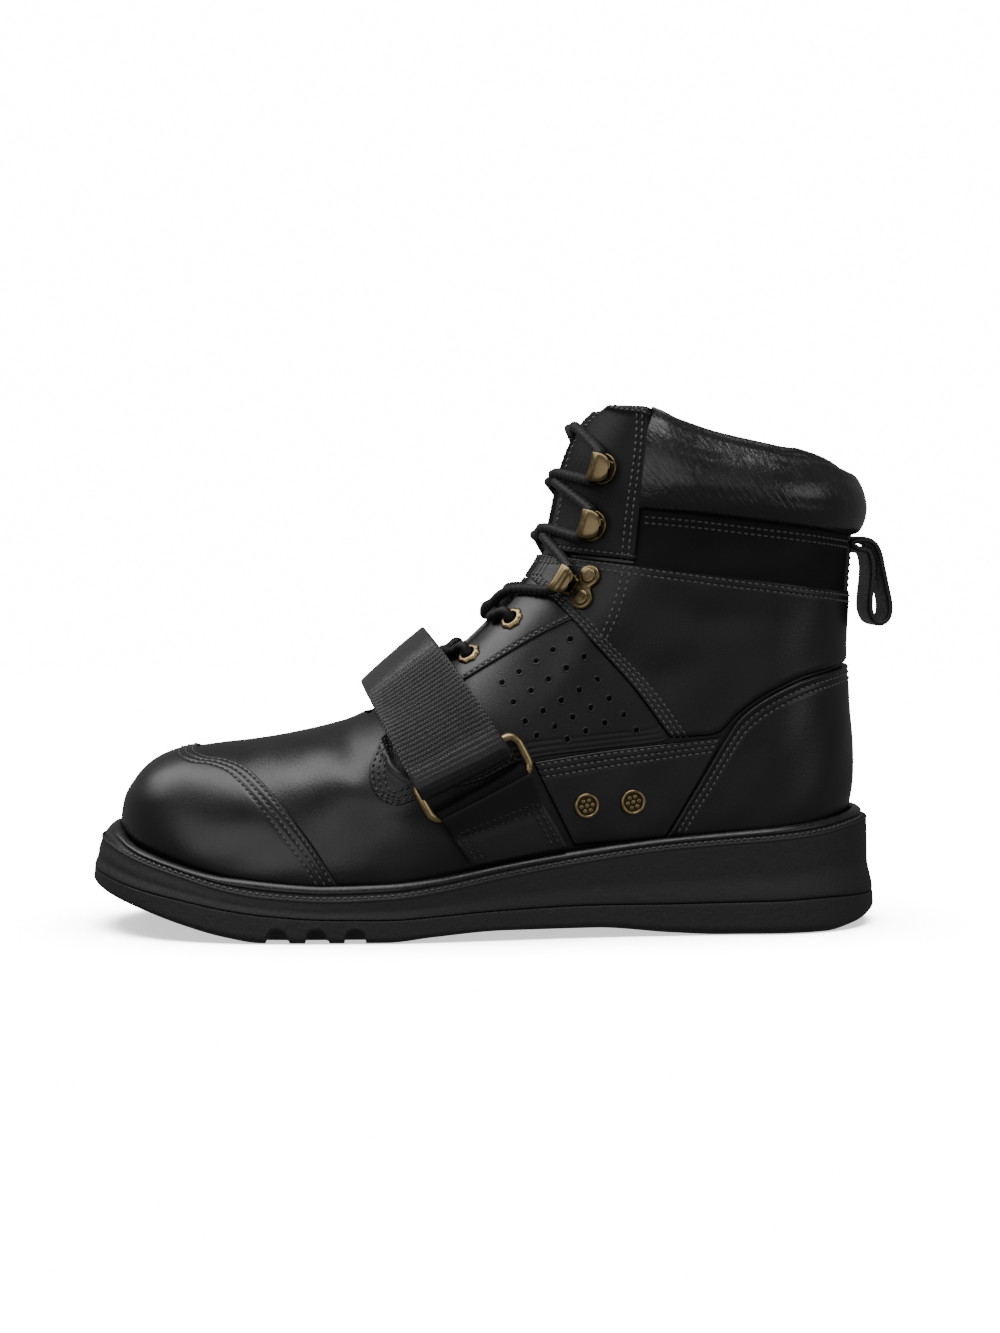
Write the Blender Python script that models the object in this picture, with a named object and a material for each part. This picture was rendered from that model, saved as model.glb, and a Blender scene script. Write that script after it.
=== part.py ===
"""Roofing boot for the left foot: a hollow lasted upper on a wedge sole, with its overlays and hardware.

Tables and sizes are in millimetres. x runs back from the tip of the sole, y is minus on the outer
(little toe) side and plus on the inner side, and z is the height above the floor.
"""

import math

import bmesh
import bpy
import numpy as np

MM = 0.001

# Driving sizes of the boot
SOLE_LENGTH = 310.0
WALL = 2.0
GAP = 0.3
TOE_SWING = 5.0
TOE_SWING_ENDS = 150.0
FEATHER_TUCK = 2.0
FEATHER_RISE = 14.0
FOOT_TOP = 60.0
SHAFT_FROM = 150.0
ROUNDNESS = 2.1

# Grid of the last: levels from the feather edge to the collar, columns from the ridge to the back
LEVELS = 18
COLUMNS = 18
THROAT_COLUMNS = 3
FIRST_THROAT_LEVEL = 8
BACK_SPACING = 1.25

OUTER, INNER = -1, 1
SIDES = ((OUTER, "lateral"), (INNER, "medial"))


def table(columns, *rows):
    """Short table with named columns."""
    return np.array(list(rows), dtype=[(name, float) for name in columns.split()])


# Side view of the last, from the toe over the vamp and up the front of the shaft
FRONT_LINE = table(
    "z x",
    (30.0, 12.5),
    (43.0, 10.8),
    (51.0, 11.6),
    (58.5, 15.2),
    (65.0, 21.5),
    (69.4, 30.0),
    (72.0, 40.0),
    (74.4, 60.0),
    (77.4, 80.0),
    (81.0, 95.0),
    (90.0, 115.0),
    (102.5, 134.0),
    (118.0, 152.0),
    (134.0, 167.0),
    (149.0, 177.0),
    (165.0, 183.0),
    (185.0, 188.0),
    (205.0, 196.0),
    (240.0, 207.0),
    (320.0, 220.0),
    (700.0, 240.0),
)
BACK_LINE = table(
    "z x",
    (34.0, 298.5),
    (44.0, 301.0),
    (58.0, 303.0),
    (74.0, 302.8),
    (92.0, 301.0),
    (110.0, 299.6),
    (130.0, 300.4),
    (155.0, 302.0),
    (190.0, 303.0),
    (240.0, 304.0),
)
TOP_LINE = table(
    "x z",
    (196.0, 205.0),
    (206.0, 207.2),
    (222.0, 207.2),
    (238.0, 201.6),
    (262.0, 194.5),
    (288.0, 186.5),
    (303.0, 179.5),
)

# Half widths of the last about its midline, along the foot and up the shaft
PLAN = table(
    "x outer inner",
    (0.0, 44.0, 42.0),
    (30.0, 47.0, 45.5),
    (60.0, 50.0, 48.0),
    (90.0, 51.5, 48.5),
    (115.0, 51.5, 47.0),
    (150.0, 47.5, 42.0),
    (185.0, 42.5, 38.0),
    (220.0, 39.0, 36.5),
    (260.0, 37.0, 36.0),
    (305.0, 36.0, 35.0),
)
SHAFT = table(
    "z outer inner",
    (60.0, 37.5, 36.5),
    (110.0, 38.0, 37.0),
    (150.0, 40.0, 39.0),
    (190.0, 43.0, 42.0),
    (215.0, 44.0, 43.0),
)
ROUNDING = table(
    "z front back",
    (30.0, 46.0, 38.0),
    (75.0, 46.0, 38.0),
    (100.0, 44.0, 36.0),
    (130.0, 42.0, 37.0),
    (170.0, 40.0, 39.0),
    (210.0, 38.0, 40.0),
)
THROAT = table("z half_gap", (30.0, 12.0), (80.0, 13.0), (120.0, 15.0), (160.0, 18.0), (210.0, 21.0))

# Side view of the sole: ground side, joint of the two rubber layers, seat of the welt
SOLE_LINES = table(
    "x ground joint seat",
    (-2.0, 17.0, 21.0, 34.4),
    (6.0, 14.0, 20.0, 32.2),
    (18.0, 10.2, 18.4, 29.0),
    (34.0, 5.2, 15.8, 24.8),
    (52.0, 1.4, 12.6, 20.2),
    (66.0, 0.0, 10.8, 18.0),
    (92.0, 0.0, 9.2, 16.9),
    (114.0, 0.0, 9.2, 18.0),
    (132.0, 2.2, 10.4, 20.4),
    (160.0, 4.4, 12.4, 26.0),
    (195.0, 4.8, 13.6, 32.0),
    (226.0, 1.8, 13.6, 35.8),
    (246.0, 0.0, 13.4, 37.2),
    (288.0, 0.0, 13.6, 38.8),
    (301.0, 1.8, 13.0, 39.2),
    (314.0, 6.0, 12.4, 39.4),
)
# How far each edge of the sole stands out from the feather edge
SOLE_EDGES = table(
    "x welt waist tread",
    (11.0, 9.6, 10.0, 12.4),
    (60.0, 7.5, 7.8, 9.4),
    (150.0, 7.0, 6.6, 8.0),
    (240.0, 6.6, 6.4, 8.6),
    (302.0, 6.4, 7.4, 12.0),
)
TREAD_CORNER = table("share inset rise", (0.0, 0.0, 5.0), (0.55, 1.2, 2.0), (1.0, 4.2, 0.0))
WELT_SECTION = table(
    "out up",
    (0.3, 0.0),
    (1.0, 0.0),
    (1.0, 3.3),
    (0.55, 3.9),
    (0.48, 5.2),
    (0.26, 5.2),
)
JOINT_INSET = 1.2
WAIST_HEIGHT = 0.45
GROOVE_STATIONS = (72.0, 87.0, 102.0)
GROOVE_WIDTH = 8.0
GROOVE_HEIGHT = 5.2
INSOLE_THICKNESS = 4.0
TONGUE_THICKNESS = 3.0
TONGUE_CLEARANCE = 1.0
TONGUE_COLUMNS = 5
TONGUE_START_LEVEL = 6


# Overlays: edges in side view, and how far each stands out from the upper
TOE_CAP_EDGE = table(
    "x z",
    (35.0, 95.0),
    (37.0, 74.0),
    (40.0, 68.3),
    (53.6, 67.0),
    (61.9, 64.1),
    (70.6, 56.3),
    (78.7, 46.7),
    (87.1, 35.6),
    (97.2, 22.1),
)
COUNTER_EDGE = table(
    "x z",
    (325.0, 108.5),
    (300.9, 104.7),
    (277.1, 99.4),
    (263.0, 92.2),
    (253.0, 85.2),
    (246.4, 76.0),
    (237.2, 60.6),
    (224.7, 39.8),
)
FOXING_TOP = table("x z", (169.5, 68.6), (197.5, 72.4), (221.3, 74.9), (246.0, 77.6))
DIAGONAL = table("x z", (225.4, 77.4), (209.4, 98.4), (193.7, 115.6), (180.8, 130.9), (166.0, 148.0))
ANKLE_SEAM = table("x z", (155.0, 152.0), (177.5, 149.5), (212.0, 145.6), (268.2, 138.4), (325.0, 131.0))
FACING_BACK = table("x z", (211.2, 146.0), (213.8, 166.1), (216.0, 185.4), (219.4, 225.0))
PANEL_FRONT = table(
    "x z",
    (102.0, 96.0),
    (106.4, 78.1),
    (108.9, 69.4),
    (113.7, 60.3),
    (121.3, 54.8),
    (136.0, 56.0),
    (152.0, 62.0),
    (168.5, 69.2),
)
PAD_BOTTOM = table("x z", (214.5, 166.4), (236.3, 165.3), (259.9, 163.4), (284.7, 160.7), (303.0, 158.6))
OVERLAY = {"toe_cap": 1.7, "heel_counter": 1.7, "foxing": 1.3, "quarter": 1.5, "side_panel": 1.2, "facing": 1.5}
SEAM = 0.4
WELT_CLEAR = 6.6
BACK_STRIP_HALF = 11.0
PAD_BULGE = 5.0
PAD_EDGE = 1.5
PAD_ROWS = 6
PAD_COLUMNS = 11

# Strap, its rings and tabs; positions in side view, "off" is the distance from the last
TAB_FOOT = table("x z", (146.4, 30.0), (183.8, 36.4))
TAB_HALF_WIDTH = 19.0
RING_CENTRE = (148.0, 62.6)
RING_ALONG = (0.893, 0.45)
RING_HALF_LENGTH = 22.4
RING_HALF_HEIGHT = 7.4
RING_CORNER = 3.0
RING_OFF = 5.9
WIRE = 1.6
PLY = 1.6
FOLD = 3.0
STRAP_WIDTH = 37.6
STRAP_THICKNESS = 2.0
STRAP_RIDGE = 125.4
STRAP_ROUTE = table(
    "share off",
    (0.20, 7.2),
    (0.50, 6.8),
    (0.72, 7.4),
    (0.86, 8.8),
    (0.95, 10.0),
)
STRAP_TOP = 11.0
LOOP_ROUTE = table(
    "x z",
    (304.9, 148.0),
    (306.6, 154.4),
    (311.4, 155.8),
    (315.4, 152.0),
    (318.2, 140.0),
    (319.0, 128.0),
    (316.6, 121.6),
    (311.4, 120.2),
    (306.8, 124.4),
    (304.7, 135.0),
)
LOOP_WIDTH = 25.0
LOOP_THICKNESS = 2.8

# Lacing hardware on each side, from the collar down
HOOKS = table("x z", (197.8, 183.7), (193.9, 162.2), (189.0, 138.0))
EYELETS = table("x z", (165.7, 122.1), (148.8, 107.9))
VENTS = table("x z", (192.4, 51.8), (210.6, 52.7))
HOOK_WIDTH = 9.0
HOOK_METAL = 1.2
HOOK_THROAT = 3.1
EYELET_RADIUS, EYELET_HOLE, EYELET_HEIGHT = 4.8, 2.6, 1.2
VENT_RADIUS, VENT_HEIGHT = 5.4, 1.4
LACE = 1.9


def smooth(knots, values, at):
    """Value of the smooth curve through the knots that never overshoots them."""
    at = np.clip(np.asarray(at, float), knots[0], knots[-1])
    step = np.diff(knots)
    slope = np.diff(values) / step
    tangent = np.zeros(len(knots))
    tangent[0], tangent[-1] = slope[0], slope[-1]
    before, after = slope[:-1], slope[1:]
    same_way = before * after > 0
    total = np.where(same_way, before + after, 1.0)
    tangent[1:-1] = np.where(same_way, 2 * before * after / total, 0.0)
    i = np.clip(np.searchsorted(knots, at, side="right") - 1, 0, len(step) - 1)
    t = (at - knots[i]) / step[i]
    return (
        values[i] * (1 + 2 * t) * (1 - t) ** 2
        + values[i + 1] * t**2 * (3 - 2 * t)
        + step[i] * (tangent[i] * t * (1 - t) ** 2 - tangent[i + 1] * t**2 * (1 - t))
    )


def look_up(rows, key, column, at):
    return smooth(rows[key], rows[column], at)


def ease(t):
    t = np.clip(t, 0.0, 1.0)
    return t * t * (3 - 2 * t)


def quarter_round(depth):
    """Rises from 0 at the silhouette to 1 at full depth, as a quarter of a superellipse."""
    rest = 1 - np.clip(depth, 0.0, 1.0)
    return (1 - rest**ROUNDNESS) ** (1 / ROUNDNESS)


def front_x(z):
    return look_up(FRONT_LINE, "z", "x", z)


def ridge_z(x):
    rising = FRONT_LINE[1:]
    return look_up(rising, "x", "z", x)


def back_x(z):
    return look_up(BACK_LINE, "z", "x", z)


def midline(x):
    return TOE_SWING * (1 - ease(np.asarray(x, float) / TOE_SWING_ENDS))


def half_width(x, z, side):
    """Half width of the last at a point of its side view.

    The plan's width turns into the shaft's with height, tucks in at the feather edge, and is closed
    by a quarter round over the distance to the front line and to the back line.
    """
    column = "outer" if side == OUTER else "inner"
    foot = look_up(PLAN, "x", column, x)
    shaft = look_up(SHAFT, "z", column, z)
    up = ease((z - FOOT_TOP) / (SHAFT_FROM - FOOT_TOP))
    wide = foot + (shaft - foot) * up
    low = 1 - np.clip((z - look_up(SOLE_LINES, "x", "seat", x)) / FEATHER_RISE, 0.0, 1.0)
    wide = wide - FEATHER_TUCK * low**2
    above = np.maximum(ridge_z(x) - z, 0.0)
    ahead = np.maximum(x - front_x(z), 0.0)
    depth = above * ahead / np.sqrt(above**2 + ahead**2 + 1e-9)
    front = quarter_round(depth / look_up(ROUNDING, "z", "front", z))
    back = quarter_round((back_x(z) - x) / look_up(ROUNDING, "z", "back", z))
    return wide * front * back


def nearness(x, y, z, side):
    """Zero on the last, below zero inside it; smooth even at the ridge and the back."""
    column = "outer" if side == OUTER else "inner"
    foot = look_up(PLAN, "x", column, x)
    shaft = look_up(SHAFT, "z", column, z)
    wide = foot + (shaft - foot) * ease((z - FOOT_TOP) / (SHAFT_FROM - FOOT_TOP))
    above = np.maximum(ridge_z(x) - z, 0.0)
    ahead = np.maximum(x - front_x(z), 0.0)
    depth = above * ahead / np.sqrt(above**2 + ahead**2 + 1e-9)
    front = 1 - (1 - np.minimum(depth / look_up(ROUNDING, "z", "front", z), 1.0)) ** ROUNDNESS
    behind = np.minimum((back_x(z) - x) / look_up(ROUNDING, "z", "back", z), 1.0)
    back = 1 - (1 - behind) ** ROUNDNESS
    return (np.abs(y - midline(x)) / wide) ** ROUNDNESS - front * back


def on_last(x, z, side, off):
    """Points off the last by a distance along its normal, from points of the side view."""
    x, z = np.broadcast_arrays(np.asarray(x, float), np.asarray(z, float))
    y = midline(x) + side * half_width(x, z, side)
    step = 0.05
    slopes = [
        nearness(x + step, y, z, side) - nearness(x - step, y, z, side),
        nearness(x, y + step, z, side) - nearness(x, y - step, z, side),
        nearness(x, y, z + step, side) - nearness(x, y, z - step, side),
    ]
    normal = np.stack(slopes, axis=-1)
    normal /= np.linalg.norm(normal, axis=-1, keepdims=True)
    return np.stack([x, y, z], axis=-1) + normal * np.asarray(off, float)[..., None]


def front_points(count):
    """Points evenly spaced along the front line, from the feather edge to the collar."""
    low = look_up(SOLE_LINES, "x", "seat", front_x(34.0)) + GAP
    z = np.linspace(low, TOP_LINE["z"][0], 2000)
    x = front_x(z)
    along = np.concatenate([[0.0], np.cumsum(np.hypot(np.diff(x), np.diff(z)))])
    even = np.linspace(0.0, along[-1], count)
    return np.interp(even, along, x), np.interp(even, along, z)


def level_line(level, share):
    """Side view points of one level of the grid, at shares of the way from the front to the back.

    Levels are straight lines from the front line to the back line, bent at the bottom to follow the
    seat of the welt and at the top to follow the collar.
    """
    xs, zs = front_points(LEVELS + 1)
    t = level / LEVELS
    heel = look_up(SOLE_LINES, "x", "seat", 301.0) + GAP
    rear_z = heel + (TOP_LINE["z"][-1] - heel) * t**BACK_SPACING
    x = xs[level] + (back_x(rear_z) - xs[level]) * share
    z = zs[level] + (rear_z - zs[level]) * share
    low_x = xs[0] + (back_x(heel) - xs[0]) * share
    low_bend = look_up(SOLE_LINES, "x", "seat", low_x) + GAP - (zs[0] + (heel - zs[0]) * share)
    top_x = xs[-1] + (back_x(TOP_LINE["z"][-1]) - xs[-1]) * share
    top_bend = look_up(TOP_LINE, "x", "z", top_x) - (zs[-1] + (TOP_LINE["z"][-1] - zs[-1]) * share)
    return x, z + low_bend * (1 - t) ** 2.5 + top_bend * t**6


def half_level(level, side):
    """Points of one level on one side: the ridge, the throat edge, then on to the back."""
    fine = (1 - np.cos(np.linspace(0.0, math.pi, 1500))) / 2
    x, z = level_line(level, fine)
    y = half_width(x, z, side)
    gap = look_up(THROAT, "z", "half_gap", z[0])
    rising = np.argmax(y)
    steps = np.linspace(0.0, gap, THROAT_COLUMNS + 1)
    front_share = np.interp(steps, y[:rising], fine[:rising])
    edge = front_share[-1]
    turn = np.linspace(0.0, math.pi, COLUMNS - THROAT_COLUMNS + 1)[1:]
    share = np.concatenate([front_share, edge + (1 - edge) * (1 - np.cos(turn)) / 2])
    x, z = level_line(level, share)
    y = half_width(x, z, side)
    y[0] = y[-1] = 0.0
    return np.stack([x, midline(x) + side * y, z], axis=-1)


def last_grid():
    """Outer face of the upper: rows are levels, columns run round from the outer back to the inner back."""
    outer = np.stack([half_level(level, OUTER) for level in range(LEVELS + 1)])
    inner = np.stack([half_level(level, INNER) for level in range(LEVELS + 1)])
    return np.concatenate([outer[:, :0:-1], inner[:, :-1]], axis=1)


def grid_normals(grid):
    around = np.roll(grid, -1, axis=1) - np.roll(grid, 1, axis=1)
    up = np.gradient(grid, axis=0)
    normal = np.cross(up, around)
    return normal / np.linalg.norm(normal, axis=-1, keepdims=True)


LAST = last_grid()
LAST_NORMALS = grid_normals(LAST)
RIDGE = COLUMNS


def offset_last(distance):
    """The last's grid moved out along its normals by a distance, or by one distance a point."""
    return LAST + LAST_NORMALS * np.asarray(distance)[..., None]


def material(name, colour, roughness, metallic=0.0):
    made = bpy.data.materials.new(name)
    made.use_nodes = True
    shader = made.node_tree.nodes["Principled BSDF"]
    shader.inputs["Base Color"].default_value = (*colour, 1.0)
    shader.inputs["Roughness"].default_value = roughness
    shader.inputs["Metallic"].default_value = metallic
    return made


def add_object(name, points, faces, finish=None):
    """Mesh object from points in millimetres, with its faces turned outwards."""
    mesh = bpy.data.meshes.new(name)
    mesh.from_pydata((np.asarray(points, float) * MM).tolist(), [], faces)
    work = bmesh.new()
    work.from_mesh(mesh)
    bmesh.ops.remove_doubles(work, verts=work.verts, dist=1e-7)
    bmesh.ops.recalc_face_normals(work, faces=work.faces)
    work.to_mesh(mesh)
    work.free()
    mesh.shade_smooth()
    mesh.set_sharp_from_angle(angle=math.radians(35))
    made = bpy.data.objects.new(name, mesh)
    bpy.context.scene.collection.objects.link(made)
    made.parent = ROOT
    if finish is not None:
        mesh.materials.append(finish)
    return made


def helper(made):
    """Marks an object as a cutter or a form that isn't itself part of the boot."""
    made.hide_render = True
    made.display_type = "WIRE"
    return made


def wall_between(name, outer, inner, cells, finish=None):
    """Closed solid between two like grids over the marked cells, with a rim along every free edge."""
    rows, columns = outer.shape[:2]
    layer = rows * columns

    def corner(row, column):
        return row * columns + column % columns

    faces = []
    edges = {}
    for row, column in np.argwhere(cells):
        ring = [
            corner(row, column),
            corner(row, column + 1),
            corner(row + 1, column + 1),
            corner(row + 1, column),
        ]
        for half in (ring[:3], [ring[0], *ring[2:]]):
            faces.append(half)
            faces.append([layer + i for i in reversed(half)])
        for a, b in zip(ring, ring[1:] + ring[:1]):
            if edges.pop((b, a), None) is None:
                edges[(a, b)] = True
    for a, b in edges:
        faces.append([b, a, layer + a, layer + b])
    points = np.concatenate([outer.reshape(-1, 3), inner.reshape(-1, 3)])
    used = sorted({i for face in faces for i in face})
    place = {i: n for n, i in enumerate(used)}
    faces = [[place[i] for i in face] for face in faces]
    return add_object(name, points[used], faces, finish)


def ladder(ring, flip):
    """Faces across a ring whose second half runs back along the first, from front to back."""
    count = len(ring)
    faces = []
    for k in range(count // 2):
        a, b = ring[RIDGE - k], ring[RIDGE + k]
        c, d = ring[RIDGE - k - 1], ring[(RIDGE + k + 1) % count]
        face = [i for n, i in enumerate((a, b, d, c)) if i not in (a, b, d, c)[:n]]
        if len(face) > 2:
            faces.append(face[::-1] if flip else face)
    return faces


def stack_of_rings(name, rings, finish):
    """Closed solid through a stack of like rings, top ring first, closed across at both ends."""
    rows, count = rings.shape[:2]
    faces = []
    for row in range(rows - 1):
        for k in range(count):
            after = (k + 1) % count
            faces.append(
                [row * count + k, row * count + after, (row + 1) * count + after, (row + 1) * count + k]
            )
    faces += ladder(list(range(count)), False)
    faces += ladder([(rows - 1) * count + k for k in range(count)], True)
    return add_object(name, rings.reshape(-1, 3), faces, finish)


def ring_of_sections(name, sections, finish):
    """Closed ring through like sections: the first axis runs round the ring."""
    around, count = sections.shape[:2]
    faces = []
    for k in range(around):
        after = (k + 1) % around
        for i in range(count):
            following = (i + 1) % count
            faces.append(
                [k * count + i, after * count + i, after * count + following, k * count + following]
            )
    return add_object(name, sections.reshape(-1, 3), faces, finish)


def feather_ring(out):
    """Feather edge seen from above, moved out by a distance for each of its points."""
    plan = LAST[0, :, :2]
    along = np.roll(plan, -1, axis=0) - np.roll(plan, 1, axis=0)
    normal = np.stack([-along[:, 1], along[:, 0]], axis=-1)
    normal /= np.linalg.norm(normal, axis=-1, keepdims=True)
    return plan + normal * np.asarray(out)[..., None]


def sole_line(column, plan):
    return look_up(SOLE_LINES, "x", column, plan[:, 0])


def sole_edge(column):
    return look_up(SOLE_EDGES, "x", column, LAST[0, :, 0])


def on_sole(out, column, up=0.0):
    """Ring at a distance out from the feather edge, at a height above one of the sole's lines."""
    plan = feather_ring(out)
    return np.concatenate([plan, (sole_line(column, plan) + up)[:, None]], axis=-1)


def make_outsole(finish):
    """Lower rubber layer: bulging edge, rounded bottom corner, three half-round grooves at the forefoot."""
    out = sole_edge("tread")
    rows = [on_sole(out - JOINT_INSET, "joint")]
    rows += [on_sole(out - corner["inset"], "ground", corner["rise"]) for corner in TREAD_CORNER]
    outsole = stack_of_rings("outsole", np.stack(rows), finish)
    for n, station in enumerate(GROOVE_STATIONS):
        groove = helper(make_groove(f"groove_cutter_{n + 1}", station))
        cut = outsole.modifiers.new(f"groove_{n + 1}", "BOOLEAN")
        cut.object = groove
        cut.operation = "DIFFERENCE"
        cut.solver = "EXACT"
    return outsole


def make_groove(name, station):
    """Bar with a half-round top that runs right across under the sole."""
    radius = GROOVE_WIDTH / 2
    turn = np.linspace(0.0, math.pi, 7)
    profile_x = np.concatenate([[radius], radius * np.cos(turn), [-radius]])
    profile_z = np.concatenate([[-5.0], GROOVE_HEIGHT - radius + radius * np.sin(turn), [-5.0]])
    ends = [
        np.stack([station + profile_x, np.full(len(profile_x), y), profile_z], axis=-1)
        for y in (-90.0, 90.0)
    ]
    return capped_loft(name, np.stack(ends))


def capped_loft(name, sections, finish=None):
    """Closed solid through like sections, with a flat cap at each end."""
    length, count = sections.shape[:2]
    faces = [list(range(count))[::-1], [(length - 1) * count + i for i in range(count)]]
    for row in range(length - 1):
        for i in range(count):
            after = (i + 1) % count
            faces.append(
                [row * count + i, row * count + after, (row + 1) * count + after, (row + 1) * count + i]
            )
    return add_object(name, sections.reshape(-1, 3), faces, finish)


def make_midsole(finish):
    """Wedge layer between the outsole and the welt, slightly waisted."""
    waist = on_sole(sole_edge("waist"), "joint")
    seat = sole_line("seat", waist)
    waist[:, 2] += WAIST_HEIGHT * (seat - waist[:, 2])
    rows = [
        on_sole(insole_out(), "seat"),
        on_sole(sole_edge("welt") - 0.4, "seat"),
        waist,
        on_sole(sole_edge("tread") - JOINT_INSET, "joint", GAP),
    ]
    return stack_of_rings("midsole", np.stack(rows), finish)


def make_welt(finish):
    """Storm welt: a flat strip round the feather edge with a lip that stands against the upper."""
    width = sole_edge("welt")
    sections = [on_sole(width * point["out"], "seat", GAP + point["up"]) for point in WELT_SECTION]
    return ring_of_sections("welt", np.stack(sections, axis=1), finish)


def insole_out():
    return np.full(2 * COLUMNS, -(WALL + 2 * GAP))


def make_insole(finish):
    rows = [on_sole(insole_out(), "seat", GAP + INSOLE_THICKNESS), on_sole(insole_out(), "seat", GAP)]
    return stack_of_rings("insole", np.stack(rows), finish)


def throat_cells():
    """Cells of the grid in the lacing opening."""
    cells = np.zeros((LEVELS, 2 * COLUMNS), bool)
    first = RIDGE - THROAT_COLUMNS
    cells[FIRST_THROAT_LEVEL:, first : first + 2 * THROAT_COLUMNS] = True
    return cells


def make_upper(finish):
    """One hollow wall, open at the collar, the lacing and underneath."""
    return wall_between("upper", LAST, offset_last(-WALL), ~throat_cells(), finish)


def make_tongue(finish):
    first = RIDGE - TONGUE_COLUMNS
    cells = np.zeros((LEVELS, 2 * COLUMNS), bool)
    cells[TONGUE_START_LEVEL:, first : first + 2 * TONGUE_COLUMNS] = True
    face = WALL + TONGUE_CLEARANCE
    return wall_between(
        "tongue", offset_last(-face), offset_last(-face - TONGUE_THICKNESS), cells, finish
    )


def boolean(target, other, operation):
    cut = target.modifiers.new(other.name, "BOOLEAN")
    cut.object = other
    cut.operation = operation
    cut.solver = "EXACT"


def prism(name, edge, sides):
    """Cutter from a closed outline in side view, run across between two y."""
    outline = np.array([(row[0], row[1]) for row in edge])
    ends = [np.stack([outline[:, 0], np.full(len(outline), y), outline[:, 1]], axis=-1) for y in sides]
    return helper(capped_loft(name, np.stack(ends)))


def points(edge, dx=0.0, dz=0.0):
    """Rows of an edge table as points, shifted to leave a seam."""
    return [(row["x"] + dx, row["z"] + dz) for row in edge]


def above_welt(start, end):
    """Line along the top of the welt between two stations."""
    x = np.linspace(start, end, max(3, int(abs(end - start) / 14)))
    seat = look_up(SOLE_LINES, "x", "seat", x - 6.0 * (1 - ease(x / 70.0)))
    return list(zip(x, seat + WELT_CLEAR))


def overlay(name, kind, outline, sides, finish, throat=None):
    """Piece of leather on the upper: between two forms of the last, inside an outline in side view."""
    piece = add_object(name, *form_data(GAP + OVERLAY[kind]), finish)
    boolean(piece, prism(f"{name}_outline", outline, sides), "INTERSECT")
    boolean(piece, INSIDE, "DIFFERENCE")
    if throat is not None:
        boolean(piece, throat, "DIFFERENCE")
    return piece


def form_data(off, longer=0.0):
    """Points and faces of the whole last as a solid, split into the same triangles as the upper.

    The form can be made longer at the collar and underneath, to cut right through another one.
    """
    grid = offset_last(off)
    if longer:
        step = np.array((0.0, 0.0, longer))
        grid = np.concatenate([grid[:1] - step, grid, grid[-1:] + step])
    rows, count = grid.shape[:2]
    faces = []
    for row in range(rows - 1):
        for k in range(count):
            after = (k + 1) % count
            a, b = row * count + k, row * count + after
            c, d = (row + 1) * count + after, (row + 1) * count + k
            faces += [[a, b, c], [a, c, d]]
    faces += ladder(list(range(count)), False)
    faces += ladder([(rows - 1) * count + k for k in range(count)], True)
    return grid.reshape(-1, 3), faces


def widened(off):
    """Grid of the last with the edge of the lacing opening moved out a little."""
    grid = offset_last(off)
    for edge, beside in ((RIDGE - THROAT_COLUMNS, -1), (RIDGE + THROAT_COLUMNS, 1)):
        grid[:, edge] += (grid[:, edge + beside] - grid[:, edge]) * 0.12
    low = FIRST_THROAT_LEVEL
    grid[low] += (grid[low - 1] - grid[low]) * 0.06
    grid[-1] += (grid[-1] - grid[-2]) * 0.2
    return grid


def make_overlays(finish):
    toe = [(-20.0, 95.0)] + points(TOE_CAP_EDGE)
    toe = toe[:-1] + above_welt(92.4, -20.0)
    overlay("toe_cap", "toe_cap", toe, (-90.0, 90.0), finish)
    heel = points(COUNTER_EDGE)[:-1] + above_welt(224.2, 325.0)
    overlay("heel_counter", "heel_counter", heel, (-90.0, 90.0), finish)
    throat = helper(wall_between("throat_cutter", widened(14.0), widened(-8.0), throat_cells()))
    for side, name in SIDES:
        reach = sorted((side * 95.0, side * 1.0))
        rear = sorted((side * 95.0, side * (BACK_STRIP_HALF + SEAM)))
        foxing = points(FOXING_TOP)
        foxing = [(foxing[0][0] + 1.6, foxing[0][1])] + foxing[1:-1] + [(245.4, 77.2), (236.3, 60.8)]
        foxing += above_welt(223.4, 187.0) + [(186.0, 37.6)]
        overlay(f"foxing_{name}", "foxing", foxing, reach, finish)
        panel = points(PANEL_FRONT) + points(FOXING_TOP, 0.0, SEAM)[1:3] + points(DIAGONAL, -SEAM, 0.0)
        panel += [(120.0, 148.0)]
        overlay(f"side_panel_{name}", "side_panel", panel, reach, finish, throat)
        quarter = points(ANKLE_SEAM, 0.0, -SEAM) + points(COUNTER_EDGE, -SEAM, SEAM)[:5]
        quarter += [(245.6, 77.6 + SEAM), (226.4, 75.8 + SEAM)] + points(DIAGONAL)
        overlay(f"quarter_{name}", "quarter", quarter, rear, finish, throat)
        facing = points(ANKLE_SEAM, 0.0, SEAM)[:2] + points(FACING_BACK) + [(150.0, 225.0)]
        overlay(f"facing_{name}", "facing", facing, reach, finish, throat)
    strip = [(285.0, 109.5), (325.0, 109.5), (325.0, 156.6), (285.0, 156.6)]
    overlay("back_strip", "side_panel", strip, (-BACK_STRIP_HALF, BACK_STRIP_HALF), finish)


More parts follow.
